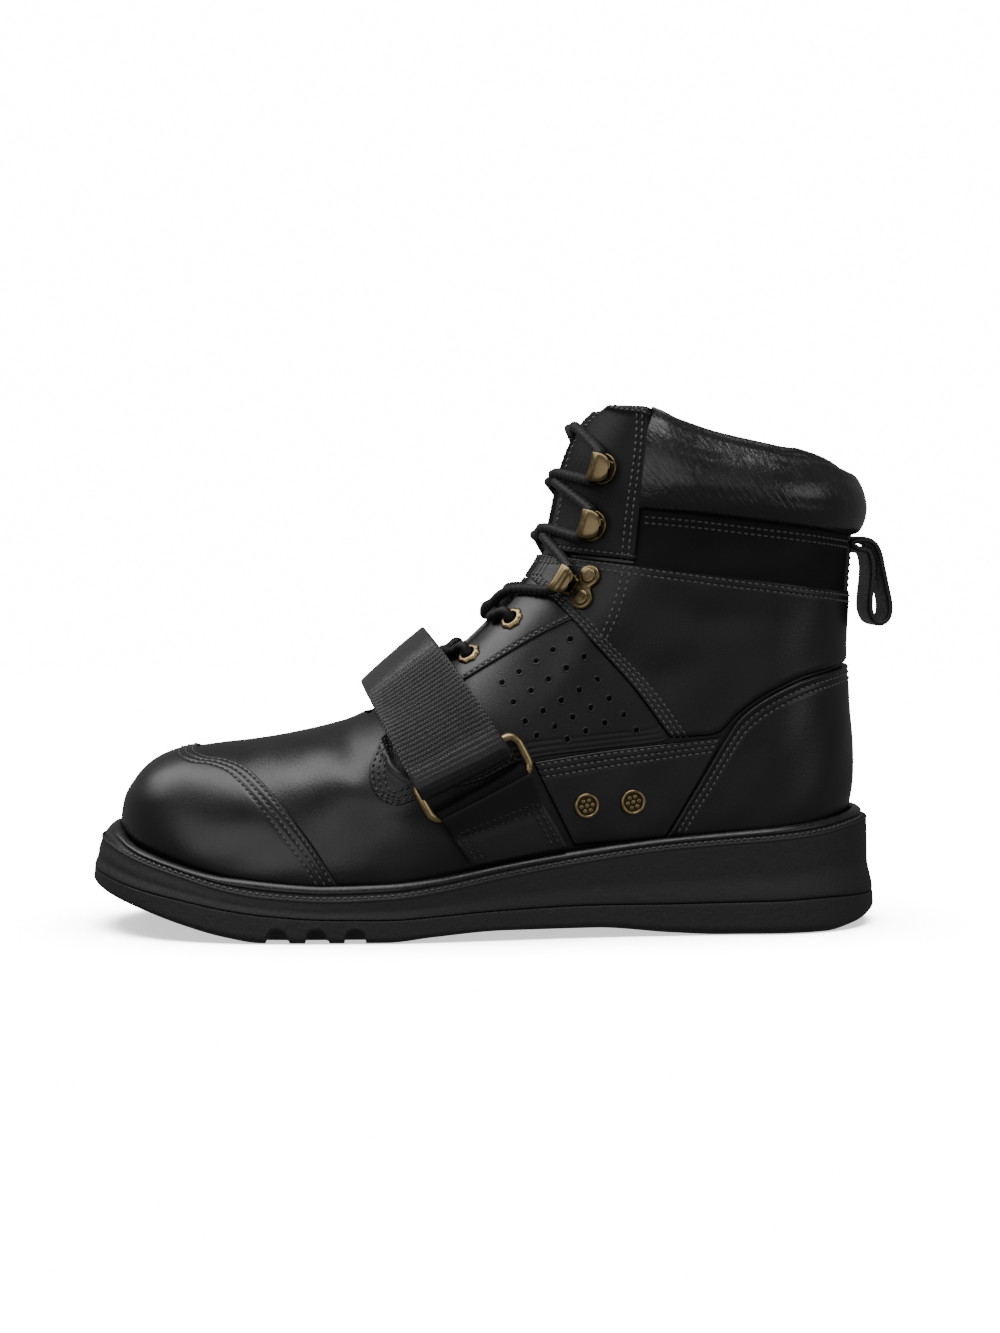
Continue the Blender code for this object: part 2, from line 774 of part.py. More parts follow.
def make_collar_pad(finish):
    """Padded collar: a cushion round the back of the shaft, thickest half way up."""
    turn = (1 - np.cos(np.linspace(0.0, math.pi, PAD_COLUMNS))) / 2
    share = np.linspace(0.0, 1.0, PAD_ROWS)
    rows_in, rows_out = [], []
    for v in share:
        front = np.interp(166.0 + 41.0 * v, FACING_BACK["z"], FACING_BACK["x"]) + 1.4
        x = front + (back_x(158.0 + 22.0 * v) - front) * turn
        low = look_up(PAD_BOTTOM, "x", "z", x)
        high = look_up(TOP_LINE, "x", "z", x) - 0.2
        z = low + (high - low) * v
        swell = PAD_EDGE + PAD_BULGE * np.sin(math.pi * (0.08 + 0.84 * v)) ** 0.8 * ease(turn / 0.12)
        for rows, off in ((rows_in, np.full(len(x), 2.6 * GAP)), (rows_out, 2.6 * GAP + swell)):
            outer = on_last(x, z, OUTER, off)
            inner = on_last(x, z, INNER, off)
            rows.append(np.concatenate([outer, inner[-2::-1]]))
    cells = np.ones((PAD_ROWS - 1, 2 * PAD_COLUMNS - 2), bool)
    wall_between("collar_pad", np.stack(rows_out), np.stack(rows_in), cells, finish)


def thick_line(path, thickness):
    """Closed outline that follows a path at half the thickness on either side."""
    path = np.asarray(path, float)
    along = np.gradient(path, axis=0)
    along /= np.linalg.norm(along, axis=-1, keepdims=True)
    across = np.stack([-along[:, 1], along[:, 0]], axis=-1) * thickness / 2
    return np.concatenate([path + across, (path - across)[::-1]])


def bar_point(bar, along):
    """Side view point on the upper (1) or lower (-1) bar of the ring, from its middle."""
    ax, az = RING_ALONG
    high = bar * RING_HALF_HEIGHT
    return (RING_CENTRE[0] - high * az + along * ax, RING_CENTRE[1] + high * ax + along * az)


def make_tab(name, side, finish):
    """Leather tab of two plies, sewn down at the foot and folded round the lower bar of the ring."""
    bottom = np.array(TAB_FOOT.tolist())
    top = np.array([bar_point(-1, w) for w in (-TAB_HALF_WIDTH, TAB_HALF_WIDTH)])
    length = np.linalg.norm((top - bottom).mean(axis=0))
    turn = np.radians(np.linspace(-118.0, 118.0, 9))
    fold = np.stack([length + FOLD * np.cos(turn), RING_OFF + FOLD * np.sin(turn)], axis=-1)
    low, high = 0.5 + PLY / 2, 0.7 + 1.5 * PLY
    inner_ply = [(0.0, low), (length * 0.35, low), (length - 12.0, low)]
    outer_ply = [(length - 11.0, high), (length * 0.35, high), (0.0, high)]
    section = thick_line(inner_ply + fold.tolist() + outer_ply, PLY)
    sections = []
    for c in np.linspace(0.0, 1.0, 4):
        low = bottom[0] + (bottom[1] - bottom[0]) * c
        high = top[0] + (top[1] - top[0]) * c
        place = low + (high - low) * (section[:, :1] / length)
        sections.append(on_last(place[:, 0], place[:, 1], side, section[:, 1]))
    return capped_loft(name, np.stack(sections), finish)


def tube(name, path, radius, sides, closed, finish=None):
    """Round bar along a path of points."""
    path = np.asarray(path, float)
    ahead = np.roll(path, -1, axis=0) - np.roll(path, 1, axis=0)
    if not closed:
        ahead[0], ahead[-1] = path[1] - path[0], path[-1] - path[-2]
    ahead /= np.linalg.norm(ahead, axis=-1, keepdims=True)
    first = np.cross(ahead, (0.3, 0.2, 1.0))
    first /= np.linalg.norm(first, axis=-1, keepdims=True)
    second = np.cross(ahead, first)
    turn = np.linspace(0.0, 2 * math.pi, sides, endpoint=False)[None, :, None]
    sections = path[:, None] + radius * (np.cos(turn) * first[:, None] + np.sin(turn) * second[:, None])
    if closed:
        return ring_of_sections(name, sections, finish)
    return capped_loft(name, sections, finish)


def make_ring(name, side, finish):
    """Rectangular wire ring with round corners, lying along the side of the upper."""
    long = RING_HALF_LENGTH - RING_CORNER
    high = RING_HALF_HEIGHT - RING_CORNER
    route = []
    for quarter, (sx, sz) in enumerate(((1, 1), (-1, 1), (-1, -1), (1, -1))):
        for turn in np.radians(90 * quarter + np.array((0.0, 30.0, 60.0, 90.0))):
            route.append((sx * long + RING_CORNER * math.cos(turn), sz * high + RING_CORNER * math.sin(turn)))
        if sx * sz > 0:
            route += [(sx * long * f, sz * RING_HALF_HEIGHT) for f in (0.5, 0.0, -0.5)]
    route = np.array(route)
    ax, az = RING_ALONG
    x = RING_CENTRE[0] + route[:, 0] * ax - route[:, 1] * az
    z = RING_CENTRE[1] + route[:, 0] * az + route[:, 1] * ax
    return tube(name, on_last(x, z, side, RING_OFF), WIRE, 6, True, finish)


def through(knots, steps):
    """Smooth run through points in space, with a number of steps between each two."""
    knots = np.asarray(knots, float)
    padded = np.concatenate([2 * knots[:1] - knots[1:2], knots, 2 * knots[-1:] - knots[-2:-1]])
    run = []
    for a, b, c, d in zip(padded, padded[1:], padded[2:], padded[3:]):
        for t in np.linspace(0.0, 1.0, steps, endpoint=False):
            run.append(
                0.5
                * (2 * b + (c - a) * t + (2 * a - 5 * b + 4 * c - d) * t**2 + (3 * b - a - 3 * c + d) * t**3)
            )
    run.append(knots[-1])
    return np.array(run)


def thicken(name, sheet, thickness, finish):
    """Closed solid of even thickness about a sheet of points."""
    normal = np.cross(np.gradient(sheet, axis=0), np.gradient(sheet, axis=1))
    normal *= thickness / 2 / np.linalg.norm(normal, axis=-1, keepdims=True)
    cells = np.ones((sheet.shape[0] - 1, sheet.shape[1] - 1), bool)
    return wall_between(name, sheet + normal, sheet - normal, cells, finish)


def make_strap(finish):
    """Webbing over the instep, folded round the upper bar of each ring.

    Each thread line runs straight in side view from the bar to its own point of the ridge.
    """
    ax, az = RING_ALONG
    turn = np.radians((0.0, 40.0, 90.0, 140.0, 172.0))
    fold = FOLD
    past_bar = np.concatenate([[12.0, 5.0], -fold * np.sin(turn)])
    off_bar = np.concatenate([[3.0, 3.0], RING_OFF - fold * np.cos(turn)])
    lines = []
    for w in np.linspace(-STRAP_WIDTH / 2, STRAP_WIDTH / 2, 4):
        bar_x, bar_z = bar_point(1, w)
        ridge_x = STRAP_RIDGE + w * 0.8
        top = np.array([ridge_x, ridge_z(ridge_x) - 0.02])
        halves = []
        for side in (OUTER, INNER):
            folded = on_last(bar_x - past_bar * az, bar_z + past_bar * ax, side, off_bar)
            x = bar_x + (top[0] - bar_x) * STRAP_ROUTE["share"]
            z = bar_z + (top[1] - bar_z) * STRAP_ROUTE["share"]
            halves.append(np.concatenate([folded, on_last(x, z, side, STRAP_ROUTE["off"])]))
        crown = on_last(top[0], top[1], OUTER, STRAP_TOP)
        crown[1] = midline(top[0])
        lines.append(np.concatenate([halves[0], crown[None], halves[1][::-1]]))
    return thicken("strap", np.stack(lines, axis=1), STRAP_THICKNESS, finish)


def make_pull_loop(finish):
    route = np.stack([LOOP_ROUTE["x"], LOOP_ROUTE["z"]], axis=-1)
    ahead = np.roll(route, -1, axis=0) - np.roll(route, 1, axis=0)
    ahead /= np.linalg.norm(ahead, axis=-1, keepdims=True)
    across = np.stack([-ahead[:, 1], ahead[:, 0]], axis=-1) * LOOP_THICKNESS / 2
    corners = []
    for n, y in ((-1, -1), (1, -1), (1, 1), (-1, 1)):
        flat = route + n * across
        corners.append(np.stack([flat[:, 0], np.full(len(flat), y * LOOP_WIDTH / 2), flat[:, 1]], axis=-1))
    return ring_of_sections("pull_loop", np.stack(corners, axis=1), finish)


def frame_at(x, z, side, off):
    """Point off the last with its normal and the two directions in the surface, back and up."""
    here = on_last(x, z, side, off)
    normal = on_last(x, z, side, off + 1.0) - here
    up = throat_direction(x, z)
    back = np.cross(up, normal) * -side
    back /= np.linalg.norm(back)
    up = np.cross(normal, back) * -side
    return here, normal, back, up


def throat_direction(x, z):
    """Direction of the front line beside a point."""
    spread = np.hypot(LAST[:, RIDGE, 0] - x, LAST[:, RIDGE, 2] - z)
    near = int(np.clip(np.argmin(spread), 1, LEVELS - 1))
    along = LAST[near + 1, RIDGE] - LAST[near - 1, RIDGE]
    return along / np.linalg.norm(along)


def make_hook(name, row, side, base, finish):
    """Lacing hook: a plate that curls up at the throat side and back over the lace."""
    here, normal, back, up = frame_at(row["x"], row["z"], side, base)
    turn = np.radians(np.linspace(270.0, 90.0, 7))
    curl = np.stack([-2.6 + HOOK_THROAT * np.cos(turn), 0.7 + HOOK_THROAT + HOOK_THROAT * np.sin(turn)], axis=-1)
    path = [(5.4, 0.7)] + curl.tolist() + [(4.6, 0.4 + 2 * HOOK_THROAT + 0.7)]
    section = thick_line(path, HOOK_METAL)
    ends = [
        here + section[:, :1] * back + section[:, 1:] * normal + up * (w * HOOK_WIDTH / 2) for w in (-1, 1)
    ]
    capped_loft(name, np.stack(ends), finish)


def turned(name, row, side, base, profile, sides, finish):
    """Round piece turned about the normal of the last; the profile gives radius and height."""
    here, normal, back, up = frame_at(row["x"], row["z"], side, base)
    turn = np.linspace(0.0, 2 * math.pi, sides, endpoint=False)
    rings = []
    for radius, height in profile:
        rings.append(
            here
            + radius * (np.cos(turn)[:, None] * back + np.sin(turn)[:, None] * up)
            + height * normal
        )
    return np.stack(rings, axis=1)


def make_hardware(finish):
    hole = ((EYELET_HOLE, 0.0), (EYELET_RADIUS, 0.0), (EYELET_RADIUS - 1.0, EYELET_HEIGHT), (EYELET_HOLE, EYELET_HEIGHT))
    for side, name in SIDES:
        for n, row in enumerate(HOOKS):
            make_hook(f"hook_{name}_{n + 1}", row, side, GAP + OVERLAY["facing"] + 0.6, finish)
        for n, row in enumerate(EYELETS):
            base = GAP + OVERLAY["side_panel"] + 0.5
            label = f"eyelet_{name}_{n + 1}"
            ring_of_sections(label, turned(label, row, side, base, hole, 12, finish), finish)
    disc = ((VENT_RADIUS, 0.0), (VENT_RADIUS, VENT_HEIGHT), (VENT_RADIUS - 1.4, VENT_HEIGHT))
    for n, row in enumerate(VENTS):
        label = f"vent_{n + 1}"
        rings = turned(label, row, OUTER, GAP + OVERLAY["foxing"] + 0.5, disc, 14, finish)
        capped_loft(label, np.moveaxis(rings, 1, 0), finish)


def throat_level(point):
    """Level of the grid whose ridge point lies beside a point of the side view."""
    level = np.linspace(0.0, LEVELS, 2000)
    x = np.interp(level, np.arange(LEVELS + 1), LAST[:, RIDGE, 0])
    z = np.interp(level, np.arange(LEVELS + 1), LAST[:, RIDGE, 2])
    return level[np.argmin(np.hypot(x - point[0], z - point[1]))]


def over_throat(level, column, off):
    """Point off the grid, between its rows, a number of columns from the ridge."""
    grid = offset_last(off)
    low = int(np.clip(math.floor(level), 0, LEVELS - 1))
    t = level - low
    return grid[low, RIDGE + column] * (1 - t) + grid[low + 1, RIDGE + column] * t


def lace_stop(row, side, is_hook):
    """Where the lace sits at a hook or an eyelet: below, then above it."""
    base = GAP + (OVERLAY["facing"] + 0.6 + 0.7 + HOOK_THROAT if is_hook else OVERLAY["side_panel"] + 4.4)
    here, normal, back, up = frame_at(row["x"], row["z"], side, base)
    here = here + back * (1.2 if is_hook else -2.0)
    reach = (-7.6, -3.6, 3.6, 7.6) if is_hook else (-3.0, 3.0)
    return [here + up * step for step in reach], throat_level((row["x"], row["z"]))


def make_lace(finish):
    """Two strands that cross over the tongue from stop to stop, joined where they cross."""
    stops = [(row, False) for row in EYELETS[::-1]] + [(row, True) for row in HOOKS[::-1]]
    strands = []
    for first in (OUTER, INNER):
        knots = []
        side = first
        for n, (row, is_hook) in enumerate(stops):
            places, level = lace_stop(row, side, is_hook)
            knots += places
            if n + 1 < len(stops):
                _, after = lace_stop(*((stops[n + 1][0], -side, stops[n + 1][1])))
                step = after - level
                knots.append(over_throat(level + 0.34 * step, side * THROAT_COLUMNS, 5.2))
                knots.append(over_throat(level + 0.5 * step, 0, 4.6))
                knots.append(over_throat(level + 0.66 * step, -side * THROAT_COLUMNS, 5.2))
            side = -side
        strands.append(knots)
    level = throat_level((HOOKS[0]["x"], HOOKS[0]["z"])) + 0.55
    bar = [over_throat(level, c * THROAT_COLUMNS, o) for c, o in ((-1, 5.2), (0, 4.2), (1, 5.2))]
    strands[0] += bar if strands[0][-1][1] < 0 else bar[::-1]
    lace = tube("lace", through(strands[0], 1), LACE, 4, False, finish)
    other = helper(tube("lace_other_strand", through(strands[1], 1), LACE, 4, False))
    boolean(lace, other, "UNION")


def clear_scene():
    for old in list(bpy.data.objects):
        bpy.data.objects.remove(old)


clear_scene()
ROOT = bpy.data.objects.new("boot", None)
bpy.context.scene.collection.objects.link(ROOT)

LEATHER = material("black_leather", (0.022, 0.022, 0.023), 0.45)
RUBBER = material("black_rubber", (0.02, 0.02, 0.021), 0.75)
LINING = material("lining", (0.03, 0.03, 0.032), 0.9)

BRASS = material("antique_brass", (0.30, 0.22, 0.10), 0.4, 1.0)
WEBBING = material("black_webbing", (0.03, 0.03, 0.032), 0.8)
CORD = material("black_cord", (0.015, 0.015, 0.016), 0.8)

INSIDE = helper(add_object("inside_form", *form_data(GAP, 8.0)))
OUTSOLE = make_outsole(RUBBER)
make_midsole(RUBBER)
make_welt(RUBBER)
make_insole(LINING)
make_upper(LEATHER)
make_tongue(LEATHER)
make_overlays(LEATHER)
make_collar_pad(LEATHER)
LOOP = make_pull_loop(WEBBING)
TABS = [make_tab(f"strap_tab_{name}", side, LEATHER) for side, name in SIDES]
RINGS = [make_ring(f"strap_ring_{name}", side, BRASS) for side, name in SIDES]
STRAP = make_strap(WEBBING)
make_hardware(BRASS)
make_lace(CORD)

# Origin at the middle of the boot's box, on the floor
EXTENT = np.array(
    [corner for piece in (OUTSOLE, LOOP, STRAP, *RINGS, *TABS) for corner in piece.bound_box]
)
MIDDLE = (EXTENT.min(axis=0) + EXTENT.max(axis=0)) / 2
ROOT.location = (-MIDDLE[0], -MIDDLE[1], 0.0)
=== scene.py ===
"""Looks of a roofing boot for the left foot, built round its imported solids.

Shapes are worked out in the boot's own millimetres: x runs back from the tip of the sole, y is minus on
the outer side, z is the height above the floor. The last, the form that the upper is pulled over, is a
function of two parameters: t, from the feather edge (0) to the collar (1), and s, round the boot from
the ridge (0) to the back (1 on the inner side, -1 on the outer side).
"""

import functools
import math

import bmesh
import bpy
import numpy as np
from bpy.props import FloatProperty, FloatVectorProperty, PointerProperty
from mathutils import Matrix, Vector


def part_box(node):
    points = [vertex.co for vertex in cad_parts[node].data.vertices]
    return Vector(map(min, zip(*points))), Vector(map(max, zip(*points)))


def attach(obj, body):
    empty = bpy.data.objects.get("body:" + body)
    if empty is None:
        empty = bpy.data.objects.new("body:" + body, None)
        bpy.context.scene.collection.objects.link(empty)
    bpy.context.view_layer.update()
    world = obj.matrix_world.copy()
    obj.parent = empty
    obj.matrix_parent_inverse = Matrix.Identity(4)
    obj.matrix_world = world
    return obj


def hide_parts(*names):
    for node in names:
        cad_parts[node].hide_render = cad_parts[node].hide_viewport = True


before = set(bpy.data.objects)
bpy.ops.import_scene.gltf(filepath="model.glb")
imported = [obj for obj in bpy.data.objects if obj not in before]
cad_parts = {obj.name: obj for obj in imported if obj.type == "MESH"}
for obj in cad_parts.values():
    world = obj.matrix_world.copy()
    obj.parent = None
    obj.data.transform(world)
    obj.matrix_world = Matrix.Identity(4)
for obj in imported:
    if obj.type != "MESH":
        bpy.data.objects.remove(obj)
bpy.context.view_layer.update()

bl_info = {
    "name": "Roofing boot",
    "version": (1, 0, 0),
    "blender": (4, 5, 0),
    "location": "3D View > Sidebar > Boot",
    "description": "Builds the visible leather, rubber, brass and cord of a roofing boot",
    "category": "Add Mesh",
}

MM = 0.001
GAP = 0.3
WALL = 2.0
OUTER, INNER = -1, 1
SIDES = ((OUTER, "lateral"), (INNER, "medial"))


def table(columns, *rows):
    """Short table with named columns."""
    return np.array(list(rows), dtype=[(name, float) for name in columns.split()])


# Side view of the last
FRONT_LINE = table(
    "z x",
    (30.0, 12.5), (43.0, 10.8), (51.0, 11.6), (58.5, 15.2), (65.0, 21.5), (69.4, 30.0), (72.0, 40.0),
    (74.4, 60.0), (77.4, 80.0), (81.0, 95.0), (90.0, 115.0), (102.5, 134.0), (118.0, 152.0),
    (134.0, 167.0), (149.0, 177.0), (165.0, 183.0), (185.0, 188.0), (205.0, 196.0), (240.0, 207.0),
    (320.0, 220.0), (700.0, 240.0),
)
BACK_LINE = table(
    "z x",
    (34.0, 298.5), (44.0, 301.0), (58.0, 303.0), (74.0, 302.8), (92.0, 301.0), (110.0, 299.6),
    (130.0, 300.4), (155.0, 302.0), (190.0, 303.0), (240.0, 304.0),
)
TOP_LINE = table(
    "x z",
    (196.0, 205.0), (206.0, 206.8), (214.0, 206.6), (220.0, 204.4), (228.0, 199.8), (242.0, 194.6),
    (257.0, 191.0), (271.0, 188.0), (288.0, 184.2), (303.0, 179.0),
)

# Half widths of the last, along the foot and up the shaft, and the depth of its rounding
PLAN = table(
    "x outer inner",
    (0.0, 44.0, 42.0), (30.0, 47.0, 45.5), (60.0, 50.0, 48.0), (90.0, 51.5, 48.5), (115.0, 51.5, 47.0),
    (150.0, 47.5, 42.0), (185.0, 42.5, 38.0), (220.0, 39.0, 36.5), (260.0, 37.0, 36.0),
    (305.0, 36.0, 35.0),
)
SHAFT = table(
    "z outer inner",
    (60.0, 37.5, 36.5), (110.0, 38.0, 37.0), (150.0, 40.0, 39.0), (190.0, 43.0, 42.0), (215.0, 44.0, 43.0),
)
ROUNDING = table(
    "z front back",
    (30.0, 46.0, 38.0), (75.0, 46.0, 38.0), (100.0, 44.0, 36.0), (130.0, 42.0, 37.0), (170.0, 40.0, 39.0),
    (210.0, 38.0, 40.0),
)
THROAT = table(
    "z half_gap",
    (30.0, 12.0), (80.0, 13.0), (120.0, 14.5), (150.0, 14.5), (170.0, 12.5), (190.0, 10.5), (195.0, 11.6),
    (199.0, 14.2), (202.0, 18.2), (204.0, 23.0), (205.0, 26.5),
)
ROUNDNESS = 2.1
TOE_SWING, TOE_SWING_ENDS = 5.0, 150.0
FEATHER_TUCK, FEATHER_RISE = 2.0, 14.0
FOOT_TOP, SHAFT_FROM = 60.0, 150.0
BACK_SPACING = 1.25
THROAT_START, TONGUE_START = 8 / 18, 6 / 18
# Behind the facings the wall ends lower, inside the collar pad
FACING_END_S, WALL_DROP = 0.29, 0.075
# Cloth band below the collar pad, and the tongue's two faces
BAND_FROM, BAND_DROP = 211.0, 3.5
TONGUE_OUT, TONGUE_IN, TONGUE_MARGIN, TONGUE_SWELL = -3.0, -6.0, 0.09, 0.9
TONGUE_GROOVE, TONGUE_GROOVE_AT = 0.5, 0.72

# Side view of the sole, and how far its edges stand out from the feather edge
SOLE_LINES = table(
    "x ground joint seat",
    (-2.0, 18.6, 24.2, 37.6), (6.0, 15.4, 22.2, 34.2), (18.0, 11.6, 19.2, 29.9), (34.0, 6.6, 16.2, 25.2),
    (52.0, 2.0, 12.8, 20.2), (66.0, 0.0, 10.9, 17.8), (92.0, 0.0, 9.2, 16.2), (114.0, 0.0, 9.0, 17.0),
    (132.0, 1.8, 10.0, 19.2), (160.0, 3.6, 11.8, 24.6), (195.0, 3.6, 12.8, 30.3), (226.0, 1.0, 12.6, 34.1),
    (246.0, 0.0, 12.8, 35.6), (270.0, 0.0, 13.2, 37.3), (288.0, 0.0, 13.8, 39.2), (301.0, 2.0, 13.4, 41.4),
    (314.0, 6.4, 12.8, 43.0),
)
SOLE_EDGES = table(
    "x welt waist tread",
    (11.0, 11.0, 12.3, 14.2), (60.0, 8.0, 8.3, 9.6), (150.0, 7.0, 6.8, 8.0), (240.0, 7.0, 6.9, 8.6),
    (285.0, 9.0, 9.0, 11.6), (302.0, 10.4, 10.6, 13.2),
)
SOLE_TIP = 0.08
JOINT_INSET, SEAT_INSET, JOINT_GAP = 0.35, 0.15, 0.1
GROOVE_STATIONS = (72.0, 87.0, 102.0)
GROOVE_WIDTH, GROOVE_HEIGHT, GROOVE_WALL = 8.0, 5.2, 48.0
INSOLE_OUT = -2.6
INSOLE_EDGE = table("inset up", (0.0, 0.3), (0.0, 3.2), (0.3, 3.8), (0.9, 4.2))

# Outlines of the leather pieces in side view
TOE_CAP_EDGE = table(
    "x z",
    (40.0, 72.2), (41.0, 69.6), (46.0, 67.8), (53.6, 67.0), (61.9, 64.1), (70.6, 56.3), (78.7, 46.7),
    (87.1, 35.6), (95.6, 22.4),
)
COUNTER_EDGE = table(
    "x z",
    (301.6, 105.0), (290.0, 102.6), (277.1, 99.4), (263.0, 92.6), (253.0, 85.2), (246.4, 76.0),
    (237.2, 60.6), (224.7, 39.8),
)
FOXING_TOP = table("x z", (171.1, 68.6), (197.5, 72.4), (221.3, 74.9), (245.4, 77.4))
FOXING_FRONT = table("x z", (187.0, 35.0), (186.0, 38.0), (178.0, 54.0), (171.1, 68.6))
FOXING_BACK = table("x z", (221.0, 37.0), (223.6, 39.8), (236.3, 60.8), (245.4, 77.4))
DIAGONAL = table("x z", (225.4, 77.0), (209.4, 98.4), (193.7, 115.6), (180.8, 130.9), (166.0, 148.0))
ANKLE_SEAM = table("x z", (160.0, 151.4), (177.5, 149.5), (212.0, 145.6), (268.2, 138.4), (302.0, 134.0))
FACING_BACK = table("x z", (211.6, 146.0), (213.8, 166.1), (216.0, 185.4), (219.4, 225.0))
PANEL_FRONT = table(
    "x z",
    (114.6, 53.4), (110.4, 56.4), (107.6, 62.6), (108.6, 69.0), (112.4, 75.5), (116.6, 83.0), (120.0, 92.0),
    (123.0, 102.0),
)
PANEL_BOTTOM = table(
    "x z",
    (114.6, 53.4), (119.0, 52.4), (125.0, 54.4), (136.0, 57.6), (152.0, 62.0), (168.5, 69.2), (197.5, 72.8),
    (221.3, 75.3), (225.0, 77.0),
)
EYESTAY_EDGE = table("x z", (126.0, 86.0), (141.6, 95.8), (159.2, 106.8), (174.6, 116.2), (187.6, 123.0))
PAD_BOTTOM = table("x z", (214.5, 166.2), (236.3, 164.2), (259.9, 161.4), (284.7, 158.4), (303.0, 156.0))
EYESTAY_FRONT = table("x z", (126.0, 86.0), (121.0, 91.0), (114.0, 98.0))
EYESTAY_BACK = table("x z", (187.6, 123.0), (180.3, 130.9), (165.5, 148.0))
QUARTER_BOTTOM = table(
    "x z",
    (225.4, 77.0), (236.0, 77.4), (245.0, 78.8), (252.4, 86.0), (262.6, 93.4), (276.7, 100.0), (289.6, 103.2),
    (302.0, 105.6),
)
QUARTER_SEAM = table("x z", (207.4, 144.6), (204.6, 134.0), (201.0, 124.0), (197.0, 115.6))
BACK_STRIP_HALF, BACK_STRIP_GAP = 11.0, 0.4
BACK_STRIP_LOW, BACK_STRIP_HIGH, BACK_STRIP_CLEAR = 107.5, 156.6, 0.006

# How far the outer face of each leather piece stands out from the last
HEIGHT = {
    "toe_cap": 2.0, "heel_counter": 2.0, "foxing": 1.6, "quarter": 2.4, "side_panel": 1.2, "eyestay": 2.2,
    "facing": 2.3, "back_strip": 1.5,
}

# Strap, rings, tabs, pull loop and lacing hardware
TAB_FOOT = table("x z", (146.4, 30.0), (183.8, 36.4))
TAB_HALF_WIDTH = 19.0
RING_CENTRE = (147.2, 62.8)
RING_ALONG = (0.893, 0.45)
RING_HALF_LENGTH, RING_HALF_HEIGHT, RING_CORNER = 21.4, 7.4, 4.0
RING_OFF, WIRE, RING_TONE = 5.9, 1.75, 1.9
PLY, FOLD, STRAP_DROP, STRAP_SHIFT = 1.6, 3.0, 6.2, -2.6
STRAP_WIDTH, STRAP_THICKNESS, STRAP_RIDGE, STRAP_TOP = 37.6, 2.0, 125.4, 11.0
STRAP_RIBS, RIB_FADE = (19.0, 72.0), 8.0
STRAP_TAIL, STRAP_TAIL_OFF, STRAP_FOLD_TURNS = (12.0, 5.0), (3.0, 3.0), (0.0, 40.0, 90.0, 140.0, 172.0)
STRAP_ROUTE = table(
    "share off arch",
    (0.20, 7.2, 0.0), (0.50, 6.8, 0.0), (0.72, 7.4, 0.15), (0.86, 8.8, 0.5), (0.95, 10.0, 0.85),
)
STRAP_ARCH = table("across rise", (-1.0, -0.4), (-0.5, 1.6), (0.0, 2.9), (0.5, 3.7), (1.0, 3.9))
LOOP_ROUTE = table(
    "x z",
    (302.6, 153.4), (307.4, 154.4), (311.4, 153.0), (313.8, 149.0), (315.2, 143.0), (316.7, 136.0),
    (318.2, 128.5), (317.7, 123.4), (315.0, 121.0), (312.0, 122.0), (310.3, 126.0), (310.2, 131.0),
    (310.9, 138.0), (311.0, 144.5), (309.4, 149.6), (305.0, 150.8),
)
LOOP_WIDTH, LOOP_THICKNESS = 25.0, 2.8
HOOKS = table(
    "x z curl lip nose",
    (199.9, 182.1, 1.5, 8.4, 0.6), (195.5, 159.9, 1.5, 8.4, 0.6), (187.0, 136.4, -1.4, 3.4, 0.5),
)
EYELETS = table("x z", (165.7, 122.1), (148.8, 107.9))
VENTS = table("x z", (192.0, 51.2), (210.4, 52.3))
HOOK_BASE, EYELET_BASE, VENT_BASE = 2.3, 2.35, 1.7
HOOK_THROAT, HOOK_SEAT, HOOK_SHEET = 3.1, 0.9, 1.25
LACE_ON_EDGE, LACE_UNDER, LACE_OVER, LACE_SAG = 4.0, -0.1, 3.3, 0.8
BRAID_PITCH, BRAID_RELIEF, LACE_STEP = 3.4, 0.07, 0.5
LACE_TOP_RISE, LACE_TOP_OFF, LACE_LOW_OFF = 15.0, 2.0, 2.4
EYELET_STOPS = table("out ahead", (-2.5, 0.6), (0.8, 1.0), (2.6, 3.6))

# Soft troughs (depth above zero) and ridges (below zero) in the leather, each along a line in side view
CREASES = table(
    "x0 z0 x1 z1 width depth",
    (58.0, 74.0, 96.0, 34.0, 8.0, 0.35), (90.0, 78.0, 106.0, 52.0, 9.0, -0.7),
    (100.0, 82.0, 112.0, 52.0, 4.5, 0.9), (104.0, 50.0, 134.0, 46.0, 5.0, 0.6),
    (118.0, 42.0, 148.0, 38.0, 7.0, -0.4), (198.0, 118.0, 226.0, 96.0, 7.0, 0.7),
    (206.0, 126.0, 250.0, 112.0, 8.0, -0.6), (222.0, 130.0, 268.0, 122.0, 6.0, 0.5),
    (226.0, 158.0, 262.0, 148.0, 7.0, 0.5), (238.0, 150.0, 284.0, 144.0, 6.0, -0.35),
    (186.0, 150.0, 214.0, 156.0, 6.0, 0.45), (194.0, 172.0, 212.0, 178.0, 8.0, -0.4),
)
PANEL_FOLDS = table(
    "x0 z0 x1 z1 width depth",
    (111.5, 84.0, 116.0, 66.0, 1.3, -1.3), (115.4, 68.0, 124.0, 60.6, 1.3, -1.1),
    (117.0, 82.0, 121.0, 68.0, 3.0, 0.8),
)
